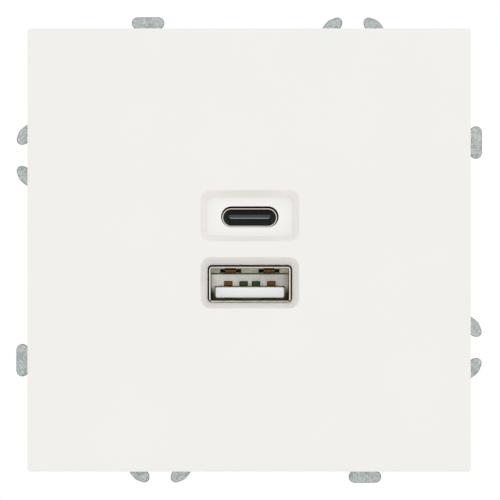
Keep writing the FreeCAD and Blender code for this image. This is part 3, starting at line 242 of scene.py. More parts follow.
def front_corners(mesh, front, radius):
    """Rounds the corners of a bar that runs straight back from one place along Y."""
    shape = bmesh.new()
    shape.from_mesh(mesh)
    flat = math.radians(FLAT_TURN)
    bmesh.ops.dissolve_limit(shape, angle_limit=flat, verts=shape.verts, edges=shape.edges)
    corners = []
    for edge in shape.edges:
        near, far = sorted(point.co.y for point in edge.verts)
        square = edge.calc_face_angle(0) > math.radians(SQUARE_TURN)
        if square and near < front + HAIR and far - near > radius:
            corners.append(edge)
    bmesh.ops.bevel(shape, geom=corners, offset=radius, segments=4, profile=0.5, affect="EDGES")
    shape.to_mesh(mesh)
    shape.free()


def dressed(name, node, materials, edge, segments=2, turn=30, keep=None, finish=None, bend=None, corner=0):
    """A piece made from a CAD node, with its edges rounded. The last material goes on the rounded edges.
    Where finish is given, it picks each face's material instead, by the face's centre and normal.
    Where bend is given, it says which way each point of the solid moves first.
    Where corner is given, the corners that run back from the solid's front get that radius."""
    mesh = joined(node, keep)
    if corner:
        front_corners(mesh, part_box(node)[0].y, corner)
    if bend:
        for point in mesh.vertices:
            point.co += bend(point.co)
    for material in materials:
        mesh.materials.append(material)
    if finish:
        for face in mesh.polygons:
            face.material_index = finish(face.center, face.normal)
    piece = bpy.data.objects.new(name, mesh)
    bpy.context.scene.collection.objects.link(piece)
    smoothed(mesh, turn)
    bevel = piece.modifiers.new("rounded edges", "BEVEL")
    bevel.width = edge
    bevel.segments = segments
    bevel.limit_method = "ANGLE"
    bevel.angle_limit = math.radians(turn)
    bevel.use_clamp_overlap = False
    bevel.loop_slide = False
    bevel.material = -1 if finish else len(materials) - 1
    weighted = piece.modifiers.new("flat faces first", "WEIGHTED_NORMAL")
    weighted.keep_sharp = True
    fixed(piece)
    standing_for(piece, node)
    return piece


# The eroded skin scatters the light, so the white stays even. Its grain is drawn at 0.18 mm, a few times
# coarser than the real one, so that it shows from near.
polycarbonate, tree, shader, place, cloud = mottled(
    "white polycarbonate, spark-eroded mould", MOULD_DRIFT, ("#F0EFEB", "#EDECE8"), (0.4, 0.46), IOR=1.58)
grain = add(tree, "ShaderNodeTexNoise", {"Vector": place, "Scale": 1 / MOULD_GRAIN, "Detail": 2})
add(tree, "ShaderNodeMapRange", {"Value": grain.outputs["Fac"], "To Min": 0.36, "To Max": 0.52},
    into=shader.inputs["Roughness"])
add(tree, "ShaderNodeBump", {"Height": grain.outputs["Fac"], "Strength": 0.12, "Distance": 0.01 * MM},
    into=shader.inputs["Normal"])

# The funnels' walls are polished, and painted paler and warmer than the plate: painted bounce light between
# them.
funnel_painted_bounce = mottled(
    "white polycarbonate, polished funnel", MOULD_DRIFT, ("#F4F0ED", "#F1EDEA"), (0.36, 0.42), IOR=1.58)[0]


def in_funnel(centre, normal):
    """Tells whether a face of the plate is a wall of one of its two funnels."""
    deep_enough = plate_low.y + FUNNEL_START < centre.y < plate_low.y + FUNNEL_DEEP
    return int(deep_enough and abs(centre.x) < FUNNEL_REACH and abs(centre.z) < FUNNEL_REACH)


dressed("plate_moulding", "centre_plate", [polycarbonate, funnel_painted_bounce], PLATE_EDGE, segments=3,
        finish=in_funnel)

# Front housing: the white polycarbonate moulding behind the plate that holds both sockets. Its nose stands
# in the plate's opening and is the floor of the two funnels, and two long screws clamp it to the frame.
NOSE_EDGE = 0.05 * MM

# A polished mould leaves it a little glossier than the plate, with hardly any drift.
# Its colour is painted a little brighter than the plate: painted light that lifts the shade on the funnels'
# floor.
housing_painted_bright = mottled(
    "white polycarbonate, polished mould, painted brighter", MOULD_DRIFT, ("#F6F5F3", "#F3F2F0"), (0.34, 0.4), IOR=1.58)[0]
dressed("front_housing_moulding", "front_housing", [housing_painted_bright], NOSE_EDGE)

# Support frame: one pressing of hot-dip galvanised steel sheet, 1.2 mm thick, that carries all the rest.
# The zinc froze in small crystals, which gives the mottled blue-grey. The sheared edges are bare and dark.
SHEARED_EDGE = 0.08 * MM
ZINC_CRYSTAL = 0.7 * MM
ZINC_BLOOM = 0.3 * MM
ZINC_GRAIN = 0.21 * MM
TORN_PATCH = 0.2 * MM

# Zinc crystals of mixed shades under a dull bloom. The finest speckle is drawn at 0.21 mm, coarser than the
# real one, so that it shows.
galvanised, tree, shader, place = surface("hot-dip galvanised steel", Metallic=1.0)
crystals = add(tree, "ShaderNodeTexVoronoi", {"Vector": place, "Scale": 1 / ZINC_CRYSTAL})
bloom = add(tree, "ShaderNodeTexNoise", {"Vector": place, "Scale": 1 / ZINC_BLOOM, "Detail": 5,
                                         "Roughness": 0.68})
shade = add(tree, "ShaderNodeMapRange", {"Value": bloom.outputs["Fac"], "From Min": 0.34, "From Max": 0.66})
zinc = add(tree, "ShaderNodeMix", {0: shade.outputs[0], 6: linear("#9BA4A5"), 7: linear("#CED4D2")},
           data_type="RGBA")
facet = add(tree, "ShaderNodeSeparateColor", {"Color": crystals.outputs["Color"]})
facet_tint = add(tree, "ShaderNodeMix", {0: facet.outputs[0], 6: linear("#C3C9C8"), 7: linear("#A9B1B1")},
                 data_type="RGBA")
both = add(tree, "ShaderNodeMix", {0: 0.34, 6: zinc.outputs[2], 7: facet_tint.outputs[2]}, data_type="RGBA")
grain = add(tree, "ShaderNodeTexNoise", {"Vector": place, "Scale": 1 / ZINC_GRAIN, "Detail": 3})
speckle = add(tree, "ShaderNodeMapRange", {"Value": grain.outputs["Fac"], "From Min": 0.3, "From Max": 0.7,
                                           "To Min": 0.7, "To Max": 1.36})
speckled = add(tree, "ShaderNodeVectorMath", {0: both.outputs[2], "Scale": speckle.outputs[0]},
               operation="SCALE")
tree.links.new(speckled.outputs[0], shader.inputs["Base Color"])
add(tree, "ShaderNodeMapRange", {"Value": facet.outputs[0], "To Min": 0.34, "To Max": 0.55},
    into=shader.inputs["Roughness"])
add(tree, "ShaderNodeBump", {"Height": bloom.outputs["Fac"], "Strength": 0.25, "Distance": 0.02 * MM},
    into=shader.inputs["Normal"])

# Where the press cut the sheet, the bare steel is torn, rough and darker than the zinc.
sheared = mottled("sheared steel edge", TORN_PATCH, ("#6B6F6E", "#8F9594"), (0.5, 0.7), Metallic=1.0)[0]

# The press has rounded the hooks' backs and deepened their tips a little more than the solid's plain arcs.
# The back swells most at about half its length, and the tip's own top is a little flatter.
HOOK_ASIDE = 16.35 * MM
SIDE_SHIFTS = [0.22 * MM, -0.8 * MM, -2.13 * MM, -1.24 * MM]
HOOK_FOOT = 35.3 * MM
TIP_HEIGHT = 36.34 * MM
TIP_END = 2.76 * MM
TIP_DEEPER = 0.45
TIP_FLATTER = 0.06
BACK_END = 4.7 * MM
BACK_FULLER = 0.22 * MM
BACK_SKEW = 1.6


def fuller_hook(point):
    """Moves the points of the hooks' outlines, each seen with its own side of the frame on top."""
    for quarter, shift in enumerate(SIDE_SHIFTS):
        side = Matrix.Rotation(math.radians(90 * quarter), 3, "Y")
        across, _, height = side.transposed() @ point
        aside = abs(across - shift - HOOK_ASIDE)
        if height < HOOK_FOOT or aside > BACK_END:
            continue
        rise = TIP_FLATTER * min(TIP_HEIGHT - height, 0)
        if aside > TIP_END:
            along = (aside - TIP_END) / (BACK_END - TIP_END)
            rise += BACK_FULLER * math.sin(math.pi * along ** BACK_SKEW)
        elif height < TIP_HEIGHT:
            rise = -TIP_DEEPER * (TIP_HEIGHT - height)
        return side @ Vector((0, 0, rise))
    return Vector()


dressed("frame_pressing", "support_frame", [galvanised, sheared], SHEARED_EDGE, bend=fuller_hook)

# Spreader claws: two strips of the same galvanised sheet, pressed and bent, with a toothed foot that bites
# into the wall box. They hang on nibs in the frame's ears.
CLAW_EDGE = 0.09 * MM

for hand in ("left", "right"):
    dressed(f"claw_{hand}_pressing", f"claw_{hand}", [galvanised, sheared], CLAW_EDGE)

# Claw screws: M3 cheese-head screws of steel with a thin bright zinc plating, with rolled threads.
# The thread is cut into the bar that the solid has, so its crests are as wide as that bar.
SCREW_EDGE = 0.12 * MM
THREAD_RADIUS = 1.5 * MM
THREAD_PITCH = 0.5 * MM
THREAD_DEEP = 0.3 * MM
THREAD_SIDES = 36
THREAD_RINGS = 8
THREAD_TURN = 50
PLATING_PATCH = 0.6 * MM

# Thin zinc, plated bright: pale and glossy, with slight clouds and waves where it is thicker.
zinc_plated, tree, shader, place, cloud = mottled(
    "bright zinc-plated steel", PLATING_PATCH, ("#C6C9C6", "#DADBD4"), (0.22, 0.36), Metallic=1.0)
add(tree, "ShaderNodeBump", {"Height": cloud, "Strength": 0.15, "Distance": 0.01 * MM},
    into=shader.inputs["Normal"])

thread_tree = bpy.data.node_groups.new("rolled screw thread", "GeometryNodeTree")
THREAD_INPUTS = (("Radius", "Float"), ("Groove", "Float"), ("Pitch", "Float"), ("Length", "Float"),
                 ("Middle", "Vector"), ("Steel", "Material"))
for label, kind in THREAD_INPUTS:
    thread_tree.interface.new_socket(label, in_out="INPUT", socket_type="NodeSocket" + kind)
thread_tree.interface.new_socket("Geometry", in_out="OUTPUT", socket_type="NodeSocketGeometry")
given = add(thread_tree, "NodeGroupInput").outputs
turns = add(thread_tree, "ShaderNodeMath", {0: given["Length"], 1: given["Pitch"]}, operation="DIVIDE")
rings = add(thread_tree, "ShaderNodeMath", {0: turns.outputs[0], 1: THREAD_RINGS}, operation="MULTIPLY")
bar = add(thread_tree, "GeometryNodeMeshCylinder", {
    "Vertices": THREAD_SIDES, "Side Segments": rings.outputs[0], "Radius": given["Radius"],
    "Depth": given["Length"]})
spot = add(thread_tree, "GeometryNodeInputPosition").outputs[0]
axes = add(thread_tree, "ShaderNodeSeparateXYZ", {0: spot}).outputs
around = add(thread_tree, "ShaderNodeMath", {0: axes[1], 1: axes[0]}, operation="ARCTAN2")
around = add(thread_tree, "ShaderNodeMath", {0: around.outputs[0], 1: math.tau}, operation="DIVIDE")
along = add(thread_tree, "ShaderNodeMath", {0: axes[2], 1: given["Pitch"]}, operation="DIVIDE")
helix = add(thread_tree, "ShaderNodeMath", {0: along.outputs[0], 1: around.outputs[0]}, operation="SUBTRACT")
flank = add(thread_tree, "ShaderNodeMath", {0: helix.outputs[0], 1: 0.5}, operation="PINGPONG")
inwards = add(thread_tree, "ShaderNodeMath", {0: flank.outputs[0], 1: given["Groove"]}, operation="MULTIPLY")
inwards = add(thread_tree, "ShaderNodeMath", {0: inwards.outputs[0], 1: -2.0}, operation="MULTIPLY")
across = add(thread_tree, "ShaderNodeVectorMath", {0: spot, 1: (1, 1, 0)}, operation="MULTIPLY")
across = add(thread_tree, "ShaderNodeVectorMath", {0: across.outputs[0]}, operation="NORMALIZE")
shift = add(thread_tree, "ShaderNodeVectorMath", {0: across.outputs[0], "Scale": inwards.outputs[0]},
            operation="SCALE")
cut = add(thread_tree, "GeometryNodeSetPosition", {"Geometry": bar.outputs["Mesh"],
                                                   "Offset": shift.outputs[0]})
laid = add(thread_tree, "GeometryNodeTransform", {"Geometry": cut.outputs[0], "Translation": given["Middle"],
                                                  "Rotation": (-math.pi / 2, 0, 0)})
real = add(thread_tree, "GeometryNodeRealizeInstances", {"Geometry": laid.outputs[0]})
plated = add(thread_tree, "GeometryNodeSetMaterial", {
    "Geometry": real.outputs[0], "Material": given["Steel"]})
add(thread_tree, "NodeGroupOutput", {"Geometry": plated.outputs[0]})


def threaded(name, node, start):
    """The threaded bar of a screw that lies along Y, from one place along it to the screw's end."""
    low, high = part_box(node)
    values = {
        "Radius": THREAD_RADIUS, "Groove": THREAD_DEEP, "Pitch": THREAD_PITCH, "Length": high.y - start,
        "Middle": ((low.x + high.x) / 2, (start + high.y) / 2, (low.z + high.z) / 2), "Steel": zinc_plated}
    piece = bpy.data.objects.new(name, bpy.data.meshes.new(name))
    bpy.context.scene.collection.objects.link(piece)
    modifier = piece.modifiers.new("thread", "NODES")
    modifier.node_group = thread_tree
    for item in thread_tree.interface.items_tree:
        if item.in_out == "INPUT":
            modifier[item.identifier] = values[item.name]
    fixed(piece)
    smoothed(piece.data, THREAD_TURN)
    standing_for(piece, node)


for hand in ("left", "right"):
    screw = f"claw_screw_{hand}"
    head_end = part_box("support_frame")[0].y
    dressed(f"{screw}_head", screw, [zinc_plated], SCREW_EDGE,
            keep=lambda centre, end=head_end: centre.y < end + HAIR)
    threaded(f"{screw}_thread", screw, head_end)

# Rear housing and terminal cover: a deep can that goes into the wall box, and the lid of its wire chambers.
# Both are injection moulded from grey glass-filled polyamide. The can is screwed to the front housing, and
# the cover laps into a recess in its back.
CAN_EDGE = 0.15 * MM
COVER_EDGE = 0.1 * MM
MELT_PATCH = 5 * MM
FIBRE = 0.35 * MM
STREAK = 0.45 * MM
STREAK_SQUEEZE = 0.1
PIN_GRID = 8.6 * MM
PIN_MARK = 1.3 * MM
PIN_RIM = 1.12

# Glass fibres just under the skin leave a matt grey with paler streaks along the way the melt flowed, both
# drawn a few times coarser than real. The ejector pins left a grid of smooth round marks on the back.
polyamide, tree, shader, place, cloud = mottled(
    "grey glass-filled polyamide", MELT_PATCH, ("#3B3E40", "#474A4C"), (0.5, 0.62), IOR=1.53)
fibres = add(tree, "ShaderNodeTexNoise", {"Vector": place, "Scale": 1 / FIBRE, "Detail": 4}).outputs["Fac"]
flow = add(tree, "ShaderNodeMapping", {"Vector": place, "Scale": (1, STREAK_SQUEEZE, 1)})
streaks = add(tree, "ShaderNodeTexNoise", {"Vector": flow.outputs[0], "Scale": 1 / STREAK, "Detail": 5})
streaks = add(tree, "ShaderNodeMapRange", {
    "Value": streaks.outputs["Fac"], "From Min": 0.45, "From Max": 0.75, "To Max": 0.4})
streaked = add(tree, "ShaderNodeMix", {
    0: streaks.outputs[0], 6: shader.inputs["Base Color"].links[0].from_socket, 7: linear("#66696B")},
    data_type="RGBA")
axes = add(tree, "ShaderNodeSeparateXYZ", {0: place}).outputs
lattice = add(tree, "ShaderNodeCombineXYZ", {0: axes[0], 1: axes[2]})
pins = add(tree, "ShaderNodeTexVoronoi", {
    "Vector": lattice.outputs[0], "Scale": 1 / PIN_GRID, "Randomness": 0.0}, voronoi_dimensions="2D")
disc = add(tree, "ShaderNodeMapRange", {
    "Value": pins.outputs["Distance"], "From Min": PIN_MARK / PIN_GRID,
    "From Max": PIN_RIM * PIN_MARK / PIN_GRID, "To Min": 1.0, "To Max": 0.0})
outwards = add(tree, "ShaderNodeTexCoord").outputs["Normal"]
outwards = add(tree, "ShaderNodeSeparateXYZ", {0: outwards}).outputs[1]
backwards = add(tree, "ShaderNodeMath", {0: outwards, 1: 0.9}, operation="GREATER_THAN")
cover_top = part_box("terminal_cover")[1].z
above = add(tree, "ShaderNodeMath", {0: axes[2], 1: cover_top}, operation="GREATER_THAN")
there = add(tree, "ShaderNodeMath", {0: backwards.outputs[0], 1: above.outputs[0]}, operation="MULTIPLY")
mark = add(tree, "ShaderNodeMath", {0: disc.outputs[0], 1: there.outputs[0]}, operation="MULTIPLY")
marked = add(tree, "ShaderNodeMix", {0: mark.outputs[0], 6: streaked.outputs[2], 7: linear("#4F5254")},
             data_type="RGBA")
tree.links.new(marked.outputs[2], shader.inputs["Base Color"])
pin_gloss_and_glint = add(tree, "ShaderNodeMix", {
    0: mark.outputs[0], 2: shader.inputs["Roughness"].links[0].from_socket, 3: 0.3})
tree.links.new(pin_gloss_and_glint.outputs[0], shader.inputs["Roughness"])
skin = add(tree, "ShaderNodeMath", {0: fibres, 1: mark.outputs[0]}, operation="SUBTRACT")
add(tree, "ShaderNodeBump", {"Height": skin.outputs[0], "Strength": 0.6, "Distance": 0.04 * MM},
    into=shader.inputs["Normal"])

dressed("rear_housing_moulding", "rear_housing", [polyamide], CAN_EDGE)
dressed("terminal_cover_moulding", "terminal_cover", [polyamide], COVER_EDGE)

# Housing and terminal screws, and the cages that the terminal screws pull up: all zinc-plated steel.
# The cages are bent and tapped, and hold the mains wires against the contact bars.
CAGE_EDGE = 0.1 * MM

dressed("housing_screw_set", "housing_screws", [zinc_plated], SCREW_EDGE)
for wire in ("live", "neutral"):
    dressed(f"terminal_{wire}_screw", f"terminal_screw_{wire}", [zinc_plated], SCREW_EDGE)
    dressed(f"terminal_{wire}_cage", f"terminal_cage_{wire}", [zinc_plated], CAGE_EDGE)

# USB-A socket: a folded shell of nickel-plated steel with four springs bent inwards, pressed round a white
# moulding of liquid-crystal polymer whose tongue carries the contacts. It is soldered to the board by its
# feet, and its mouth stands in the front housing's nose.
SHELL_WALL = 0.27 * MM
SHELL_EDGE = 0.05 * MM
SHELL_TURN = 40
NICKEL_PATCH = 0.45 * MM
INSIDE_PATCH = 0.5 * MM
INNER_SHADE_LOW = 0.7 * MM
INNER_SHADE_HIGH = 2.5 * MM
CORNER_WIDE = 1.3 * MM
CORNER_DARK = 0.5 * MM
SIDE_LINE = 0.06 * MM
SIDE_FADE = 1.4
SILL_LINE = 0.1 * MM
SILL_FADE = 1.3
TOP_SHADE_START = 0.17 * MM
TOP_SHADE_FULL = 0.12 * MM
LOW_BLOTCH_REACH = 0.7
BLOTCH = 1.6 * MM
LIP_TALL = 1.0 * MM
LIP_PATCH = 0.9 * MM
LIP_DARK = 0.14 * MM
LIP_PALE = 0.26 * MM
FINE_PATCH = 0.3 * MM
SPRING_X = 3.07 * MM
SPRING_HALF = 0.9 * MM
SPRING_KNEE = 3.7 * MM
SPRING_CURL = 1.75 * MM
TONGUE_CORNER = 0.32 * MM
TONGUE_EDGE = 0.14 * MM

# Bright nickel: warm, pale and glossy, with the faint ripple of the rolled strip under it.
nickel, tree, shader, place, cloud = mottled(
    "nickel-plated steel", NICKEL_PATCH, ("#E6E2D6", "#D2CDBE"), (0.2, 0.36), Metallic=1.0)
add(tree, "ShaderNodeBump", {"Height": cloud, "Strength": 0.12, "Distance": 0.02 * MM},
    into=shader.inputs["Normal"])

# Inside the shell the nickel is painted darker: painted shade, olive low down and near black in the lower
# corners. The colour also darkens from the left side to the right.
shell_low, shell_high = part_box("usb_a_shell")
# stained holds the nickel inside the shell, painted darker as painted shade.
stained, tree, shader, place, cloud = mottled(
    "nickel with painted inner shade", INSIDE_PATCH, ("#CFCEC6", "#C1C0B8"), (0.12, 0.22), Metallic=1.0)
axes = add(tree, "ShaderNodeSeparateXYZ", {0: place}).outputs
across = add(tree, "ShaderNodeMapRange", {
    "Value": axes[0], "From Min": shell_low.x, "From Max": shell_high.x})
clean = shader.inputs["Base Color"].links[0].from_socket
# Darker from the left side of the shell to the right.
side_gradient = add(tree, "ShaderNodeMix", {0: across.outputs[0], 6: (1.1, 1.1, 1.1, 1), 7: (0.72, 0.71, 0.7, 1)},
             data_type="RGBA")
graded = add(tree, "ShaderNodeMix", {0: 1.0, 6: clean, 7: side_gradient.outputs[2]}, data_type="RGBA",
           blend_type="MULTIPLY")
# Painted shade: darker and olive low down in the shell.
low_shade_mask = add(tree, "ShaderNodeMapRange", {"Value": axes[2], "From Min": shell_low.z + INNER_SHADE_LOW,
                                         "From Max": shell_low.z + INNER_SHADE_HIGH, "To Min": 1.0, "To Max": 0.0})
low_shaded = add(tree, "ShaderNodeMix", {0: low_shade_mask.outputs[0], 6: graded.outputs[2], 7: linear("#645A3A")},
            data_type="RGBA")
shell_middle = (shell_low + shell_high) / 2
shell_half = (shell_high - shell_low) / 2
aside = add(tree, "ShaderNodeMath", {0: axes[0], 1: shell_middle.x}, operation="SUBTRACT")
aside = add(tree, "ShaderNodeMath", {0: aside.outputs[0]}, operation="ABSOLUTE")
# Painted shade: near black in the lower corners.
corner = add(tree, "ShaderNodeMapRange", {"Value": aside.outputs[0], "From Min": shell_half.x - CORNER_WIDE,
                                          "From Max": shell_half.x - CORNER_DARK})
corner_shade_mask = add(tree, "ShaderNodeMapRange", {"Value": low_shade_mask.outputs[0], "From Max": 0.7, "To Min": 0.25})
corner_shade_mask = add(tree, "ShaderNodeMath", {0: corner.outputs[0], 1: corner_shade_mask.outputs[0]}, operation="MULTIPLY")
corner_shaded = add(tree, "ShaderNodeMix", {0: corner_shade_mask.outputs[0], 6: low_shaded.outputs[2], 7: linear("#2B2619")},
            data_type="RGBA")
tree.links.new(corner_shaded.outputs[2], shader.inputs["Base Color"])

# The rim is bright, with painted shade on its top edge, darker blotches along its lower edge, and a painted
# shade line along the inner edge of the side walls and along the sill.
rim_nickel, tree, shader, place, cloud = mottled(
    "nickel rim with painted shade and blotches", NICKEL_PATCH, ("#F1EEE5", "#DEDACD"), (0.2, 0.36), Metallic=1.0)
centred = add(tree, "ShaderNodeVectorMath", {0: place, 1: shell_middle}, operation="SUBTRACT")
centred = add(tree, "ShaderNodeVectorMath", {0: centred.outputs[0]}, operation="ABSOLUTE")
away = add(tree, "ShaderNodeSeparateXYZ", {0: centred.outputs[0]}).outputs
# Painted shade line along the inner edge of the side walls.
side_shade_line = add(tree, "ShaderNodeMapRange", {
    "Value": away[0], "From Min": shell_half.x - SHELL_WALL + SIDE_LINE,
    "From Max": shell_half.x - SHELL_WALL + SIDE_FADE * SIDE_LINE, "To Min": 0.9, "To Max": 0.0})
upright = add(tree, "ShaderNodeMath", {0: away[2], 1: shell_half.z - SHELL_WALL}, operation="LESS_THAN")
side_shade_line = add(tree, "ShaderNodeMath", {0: side_shade_line.outputs[0], 1: upright.outputs[0]},
                operation="MULTIPLY")
height = add(tree, "ShaderNodeSeparateXYZ", {0: place}).outputs[2]
# Painted shade on the rim's top edge.
top_shade = add(tree, "ShaderNodeMapRange", {
    "Value": height, "From Min": shell_high.z - TOP_SHADE_START, "From Max": shell_high.z - TOP_SHADE_FULL,
    "To Max": 0.75})
# Darker blotches along the lower edge.
low_band = add(tree, "ShaderNodeMapRange", {
    "Value": height, "From Min": shell_low.z + SHELL_WALL, "From Max": shell_low.z + LOW_BLOTCH_REACH * SHELL_WALL})
blotches = add(tree, "ShaderNodeTexNoise", {"Vector": place, "Scale": 1 / BLOTCH, "Detail": 3})
blotches = add(tree, "ShaderNodeMapRange", {
    "Value": blotches.outputs["Fac"], "From Min": 0.35, "From Max": 0.65, "To Min": 0.0, "To Max": 0.5})
low_blotches = add(tree, "ShaderNodeMath", {0: low_band.outputs[0], 1: blotches.outputs[0]}, operation="MULTIPLY")
shade_and_blotches = add(tree, "ShaderNodeMath", {0: top_shade.outputs[0], 1: low_blotches.outputs[0]}, operation="MAXIMUM")
shade_and_blotches = add(tree, "ShaderNodeMath", {0: shade_and_blotches.outputs[0], 1: side_shade_line.outputs[0]}, operation="MAXIMUM")
sill = shell_low.z + SHELL_WALL
# Painted shade line along the sill.
sill_shade_line = add(tree, "ShaderNodeMapRange", {
    "Value": height, "From Min": sill - SILL_FADE * SILL_LINE, "From Max": sill - SILL_LINE, "To Max": 0.85})
below = add(tree, "ShaderNodeMath", {0: height, 1: sill + HAIR}, operation="LESS_THAN")
sill_shade_line = add(tree, "ShaderNodeMath", {0: sill_shade_line.outputs[0], 1: below.outputs[0]}, operation="MULTIPLY")
shade_and_blotches = add(tree, "ShaderNodeMath", {0: shade_and_blotches.outputs[0], 1: sill_shade_line.outputs[0]}, operation="MAXIMUM")
rim_shaded = add(tree, "ShaderNodeMix", {
    0: shade_and_blotches.outputs[0], 6: shader.inputs["Base Color"].links[0].from_socket, 7: linear("#4F4632")},
    data_type="RGBA")
tree.links.new(rim_shaded.outputs[2], shader.inputs["Base Color"])

# Heat has stained the folded back lip in straw and olive patches, and a painted shadow darkens its lower
# edge.
lip_nickel, tree, shader, place, cloud = mottled(
    "heat-stained nickel with painted edge shadow", LIP_PATCH, ("#D2CEBC", "#777259"), (0.24, 0.36), Metallic=1.0)
add(tree, "ShaderNodeBump", {"Height": cloud, "Strength": 0.2, "Distance": 0.02 * MM},
    into=shader.inputs["Normal"])
lip_low = shell_high.z - SHELL_WALL - LIP_TALL
height = add(tree, "ShaderNodeSeparateXYZ", {0: place}).outputs[2]
# Painted shadow along the lip's lower edge.
lip_edge_shadow = add(tree, "ShaderNodeMapRange", {
    "Value": height, "From Min": lip_low + LIP_DARK, "From Max": lip_low + LIP_PALE,
    "To Min": 1.0, "To Max": 0.0})
lip_shadowed = add(tree, "ShaderNodeMix", {
    0: lip_edge_shadow.outputs[0], 6: shader.inputs["Base Color"].links[0].from_socket, 7: linear("#5C5843")},
    data_type="RGBA")
tree.links.new(lip_shadowed.outputs[2], shader.inputs["Base Color"])

# Nickel painted nearly black, with a brown cast and little gloss: painted shade inside the USB-C shell.
oval_inside_shade = mottled("nickel with painted dark shade", FINE_PATCH, ("#4A4435", "#2F2B21"), (0.35, 0.5), Metallic=1.0)[0]

# The springs' ends are painted brown, dull and uneven: painted shade on their nickel.
copper = mottled(
    "spring ends, nickel with painted brown shade", FINE_PATCH, ("#8A612C", "#513F26"), (0.4, 0.55), Metallic=1.0)[0]

# On the springs' slopes, which face down, the brown is painted darker: a darker painted shade.
shadowed = mottled("spring slopes, nickel with painted darker shade", FINE_PATCH, ("#4A3C26", "#3A3020"), (0.3, 0.4), Metallic=1.0)[0]
SHELL_FINISHES = [rim_nickel, stained, lip_nickel, copper, shadowed]


def shell_finish(centre, normal):
    """Picks a shell face's finish: rim and outside, inside with painted shade, back lip, or a spring's end or
    slope.
    """
    aside = abs(centre.x - shell_middle.x)
    if centre.y < shell_low.y + HAIR:
        return 0
    upper = centre.z > shell_middle.z
    if abs(aside - SPRING_X) < SPRING_HALF and upper and centre.y < -HAIR and normal.y < -0.05:
        return 3 if normal.y < -0.97 else 4
    tall = abs(centre.z - shell_middle.z)
    if aside > shell_half.x - SHELL_WALL + HAIR or tall > shell_half.z - SHELL_WALL + HAIR:
        return 0
    return 2 if abs(centre.y) < HAIR else 1


def spring_curl(point):
    """Brings an upper spring's knee forward, under its free end, which makes a blunt nose."""
    at_spring = abs(abs(point.x - shell_middle.x) - SPRING_X) < SPRING_HALF
    at_knee = abs(point.y - shell_low.y - SPRING_KNEE) < HAIR
    upper = point.z > shell_middle.z
    return Vector((0, -SPRING_CURL if at_spring and at_knee and upper else 0, 0))


dressed("usb_a_shell_folding", "usb_a_shell", SHELL_FINISHES, SHELL_EDGE, turn=SHELL_TURN,
        finish=shell_finish, bend=spring_curl)

# The polymer is a cold bright white with a silky skin.
white_polymer = mottled(
    "white liquid-crystal polymer", 1.5 * MM, ("#F6F9FA", "#EFF2F2"), (0.4, 0.55), IOR=1.6)[0]

# The tongue's rounded edges are coloured cream, which draws a cream line round the tongue.
cream_edge = mottled("cream edge colour", 0.4 * MM, ("#D9D5C2", "#C6C1AA"), (0.5, 0.6), IOR=1.6)[0]
dressed("usb_a_tongue_moulding", "usb_a_insulator", [white_polymer, cream_edge], TONGUE_EDGE, segments=3,
        corner=TONGUE_CORNER)

# The USB-A contacts: stamped phosphor bronze. The inner pair is coloured darker and greener than the outer.
# Each blade bends down steeply to its toe, which is painted dark: painted shade of the tongue.
BLADE_BEND = 1.4 * MM
BLADE_STEEPER = 0.95 * MM
BLADE_EDGE = 0.02 * MM
INNER_PAIR = 2.2 * MM
TARNISH_PATCH = 0.3 * MM
TOE_DARK = 0.2 * MM
TOE_BRIGHT = 0.32 * MM

port_low, port_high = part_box("usb_a_contacts")
port_middle = (port_low.x + port_high.x) / 2
for name, finish_name, tints, inner in (
    ("usb_a_power_blades", "phosphor bronze", ("#BC7844", "#8C5A32"), False),
    ("usb_a_data_blades", "green phosphor bronze", ("#587259", "#40543F"), True),
):
    # Bronze without plating: orange-brown on the outer pair, green on the inner, only half glossy.
    bronze, tree, shader, place, cloud = mottled(
        finish_name, TARNISH_PATCH, tints, (0.4, 0.55), Metallic=1.0)
    height = add(tree, "ShaderNodeSeparateXYZ", {0: place}).outputs[2]
    # The toe is painted dark: painted shade of the tongue.
    toe_shade = add(tree, "ShaderNodeMapRange", {
        "Value": height, "From Min": port_low.z + TOE_DARK, "From Max": port_low.z + TOE_BRIGHT,
        "To Min": 1.0, "To Max": 0.0})
    shaded = add(tree, "ShaderNodeMix", {
        0: toe_shade.outputs[0], 6: shader.inputs["Base Color"].links[0].from_socket, 7: linear("#4A3A26")},
        data_type="RGBA")
    tree.links.new(shaded.outputs[2], shader.inputs["Base Color"])
    dressed(name, "usb_a_contacts", [bronze], BLADE_EDGE,
            keep=lambda centre, inner=inner: (abs(centre.x - port_middle) < INNER_PAIR) == inner,
            bend=lambda point: Vector((0, BLADE_STEEPER if point.y < port_low.y + BLADE_BEND else 0, 0)))

# USB-C socket: an oval shell, deep drawn from nickel-plated steel, round a black moulding of liquid-crystal
# polymer. Its thin tongue stands between two rows of contacts, and the whole is soldered to the board.
TONGUE_GLINT = 0.07 * MM
GLINT_START = 0.5
GLINT_FADE = 1.8
GLINT_LEVEL = 0.22
GLINT_DEEP = 0.4 * MM
GLINT_HALF = 3.05 * MM
OVAL_STRAIGHT = 2.95 * MM
OVAL_END = 3.3 * MM
OVAL_TIP = 3.9 * MM

# The polymer is black with a silky skin, painted paler at both ends of the oval: a painted highlight.
# A painted blue-grey highlight runs along the lower half of the tongue's nose.
black_polymer, tree, shader, place, cloud = mottled(
    "black liquid-crystal polymer", 1.1 * MM, ("#313334", "#151617"), (0.3, 0.45), IOR=1.6)
row_low, row_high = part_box("usb_c_contacts")
axes = add(tree, "ShaderNodeSeparateXYZ", {0: place}).outputs
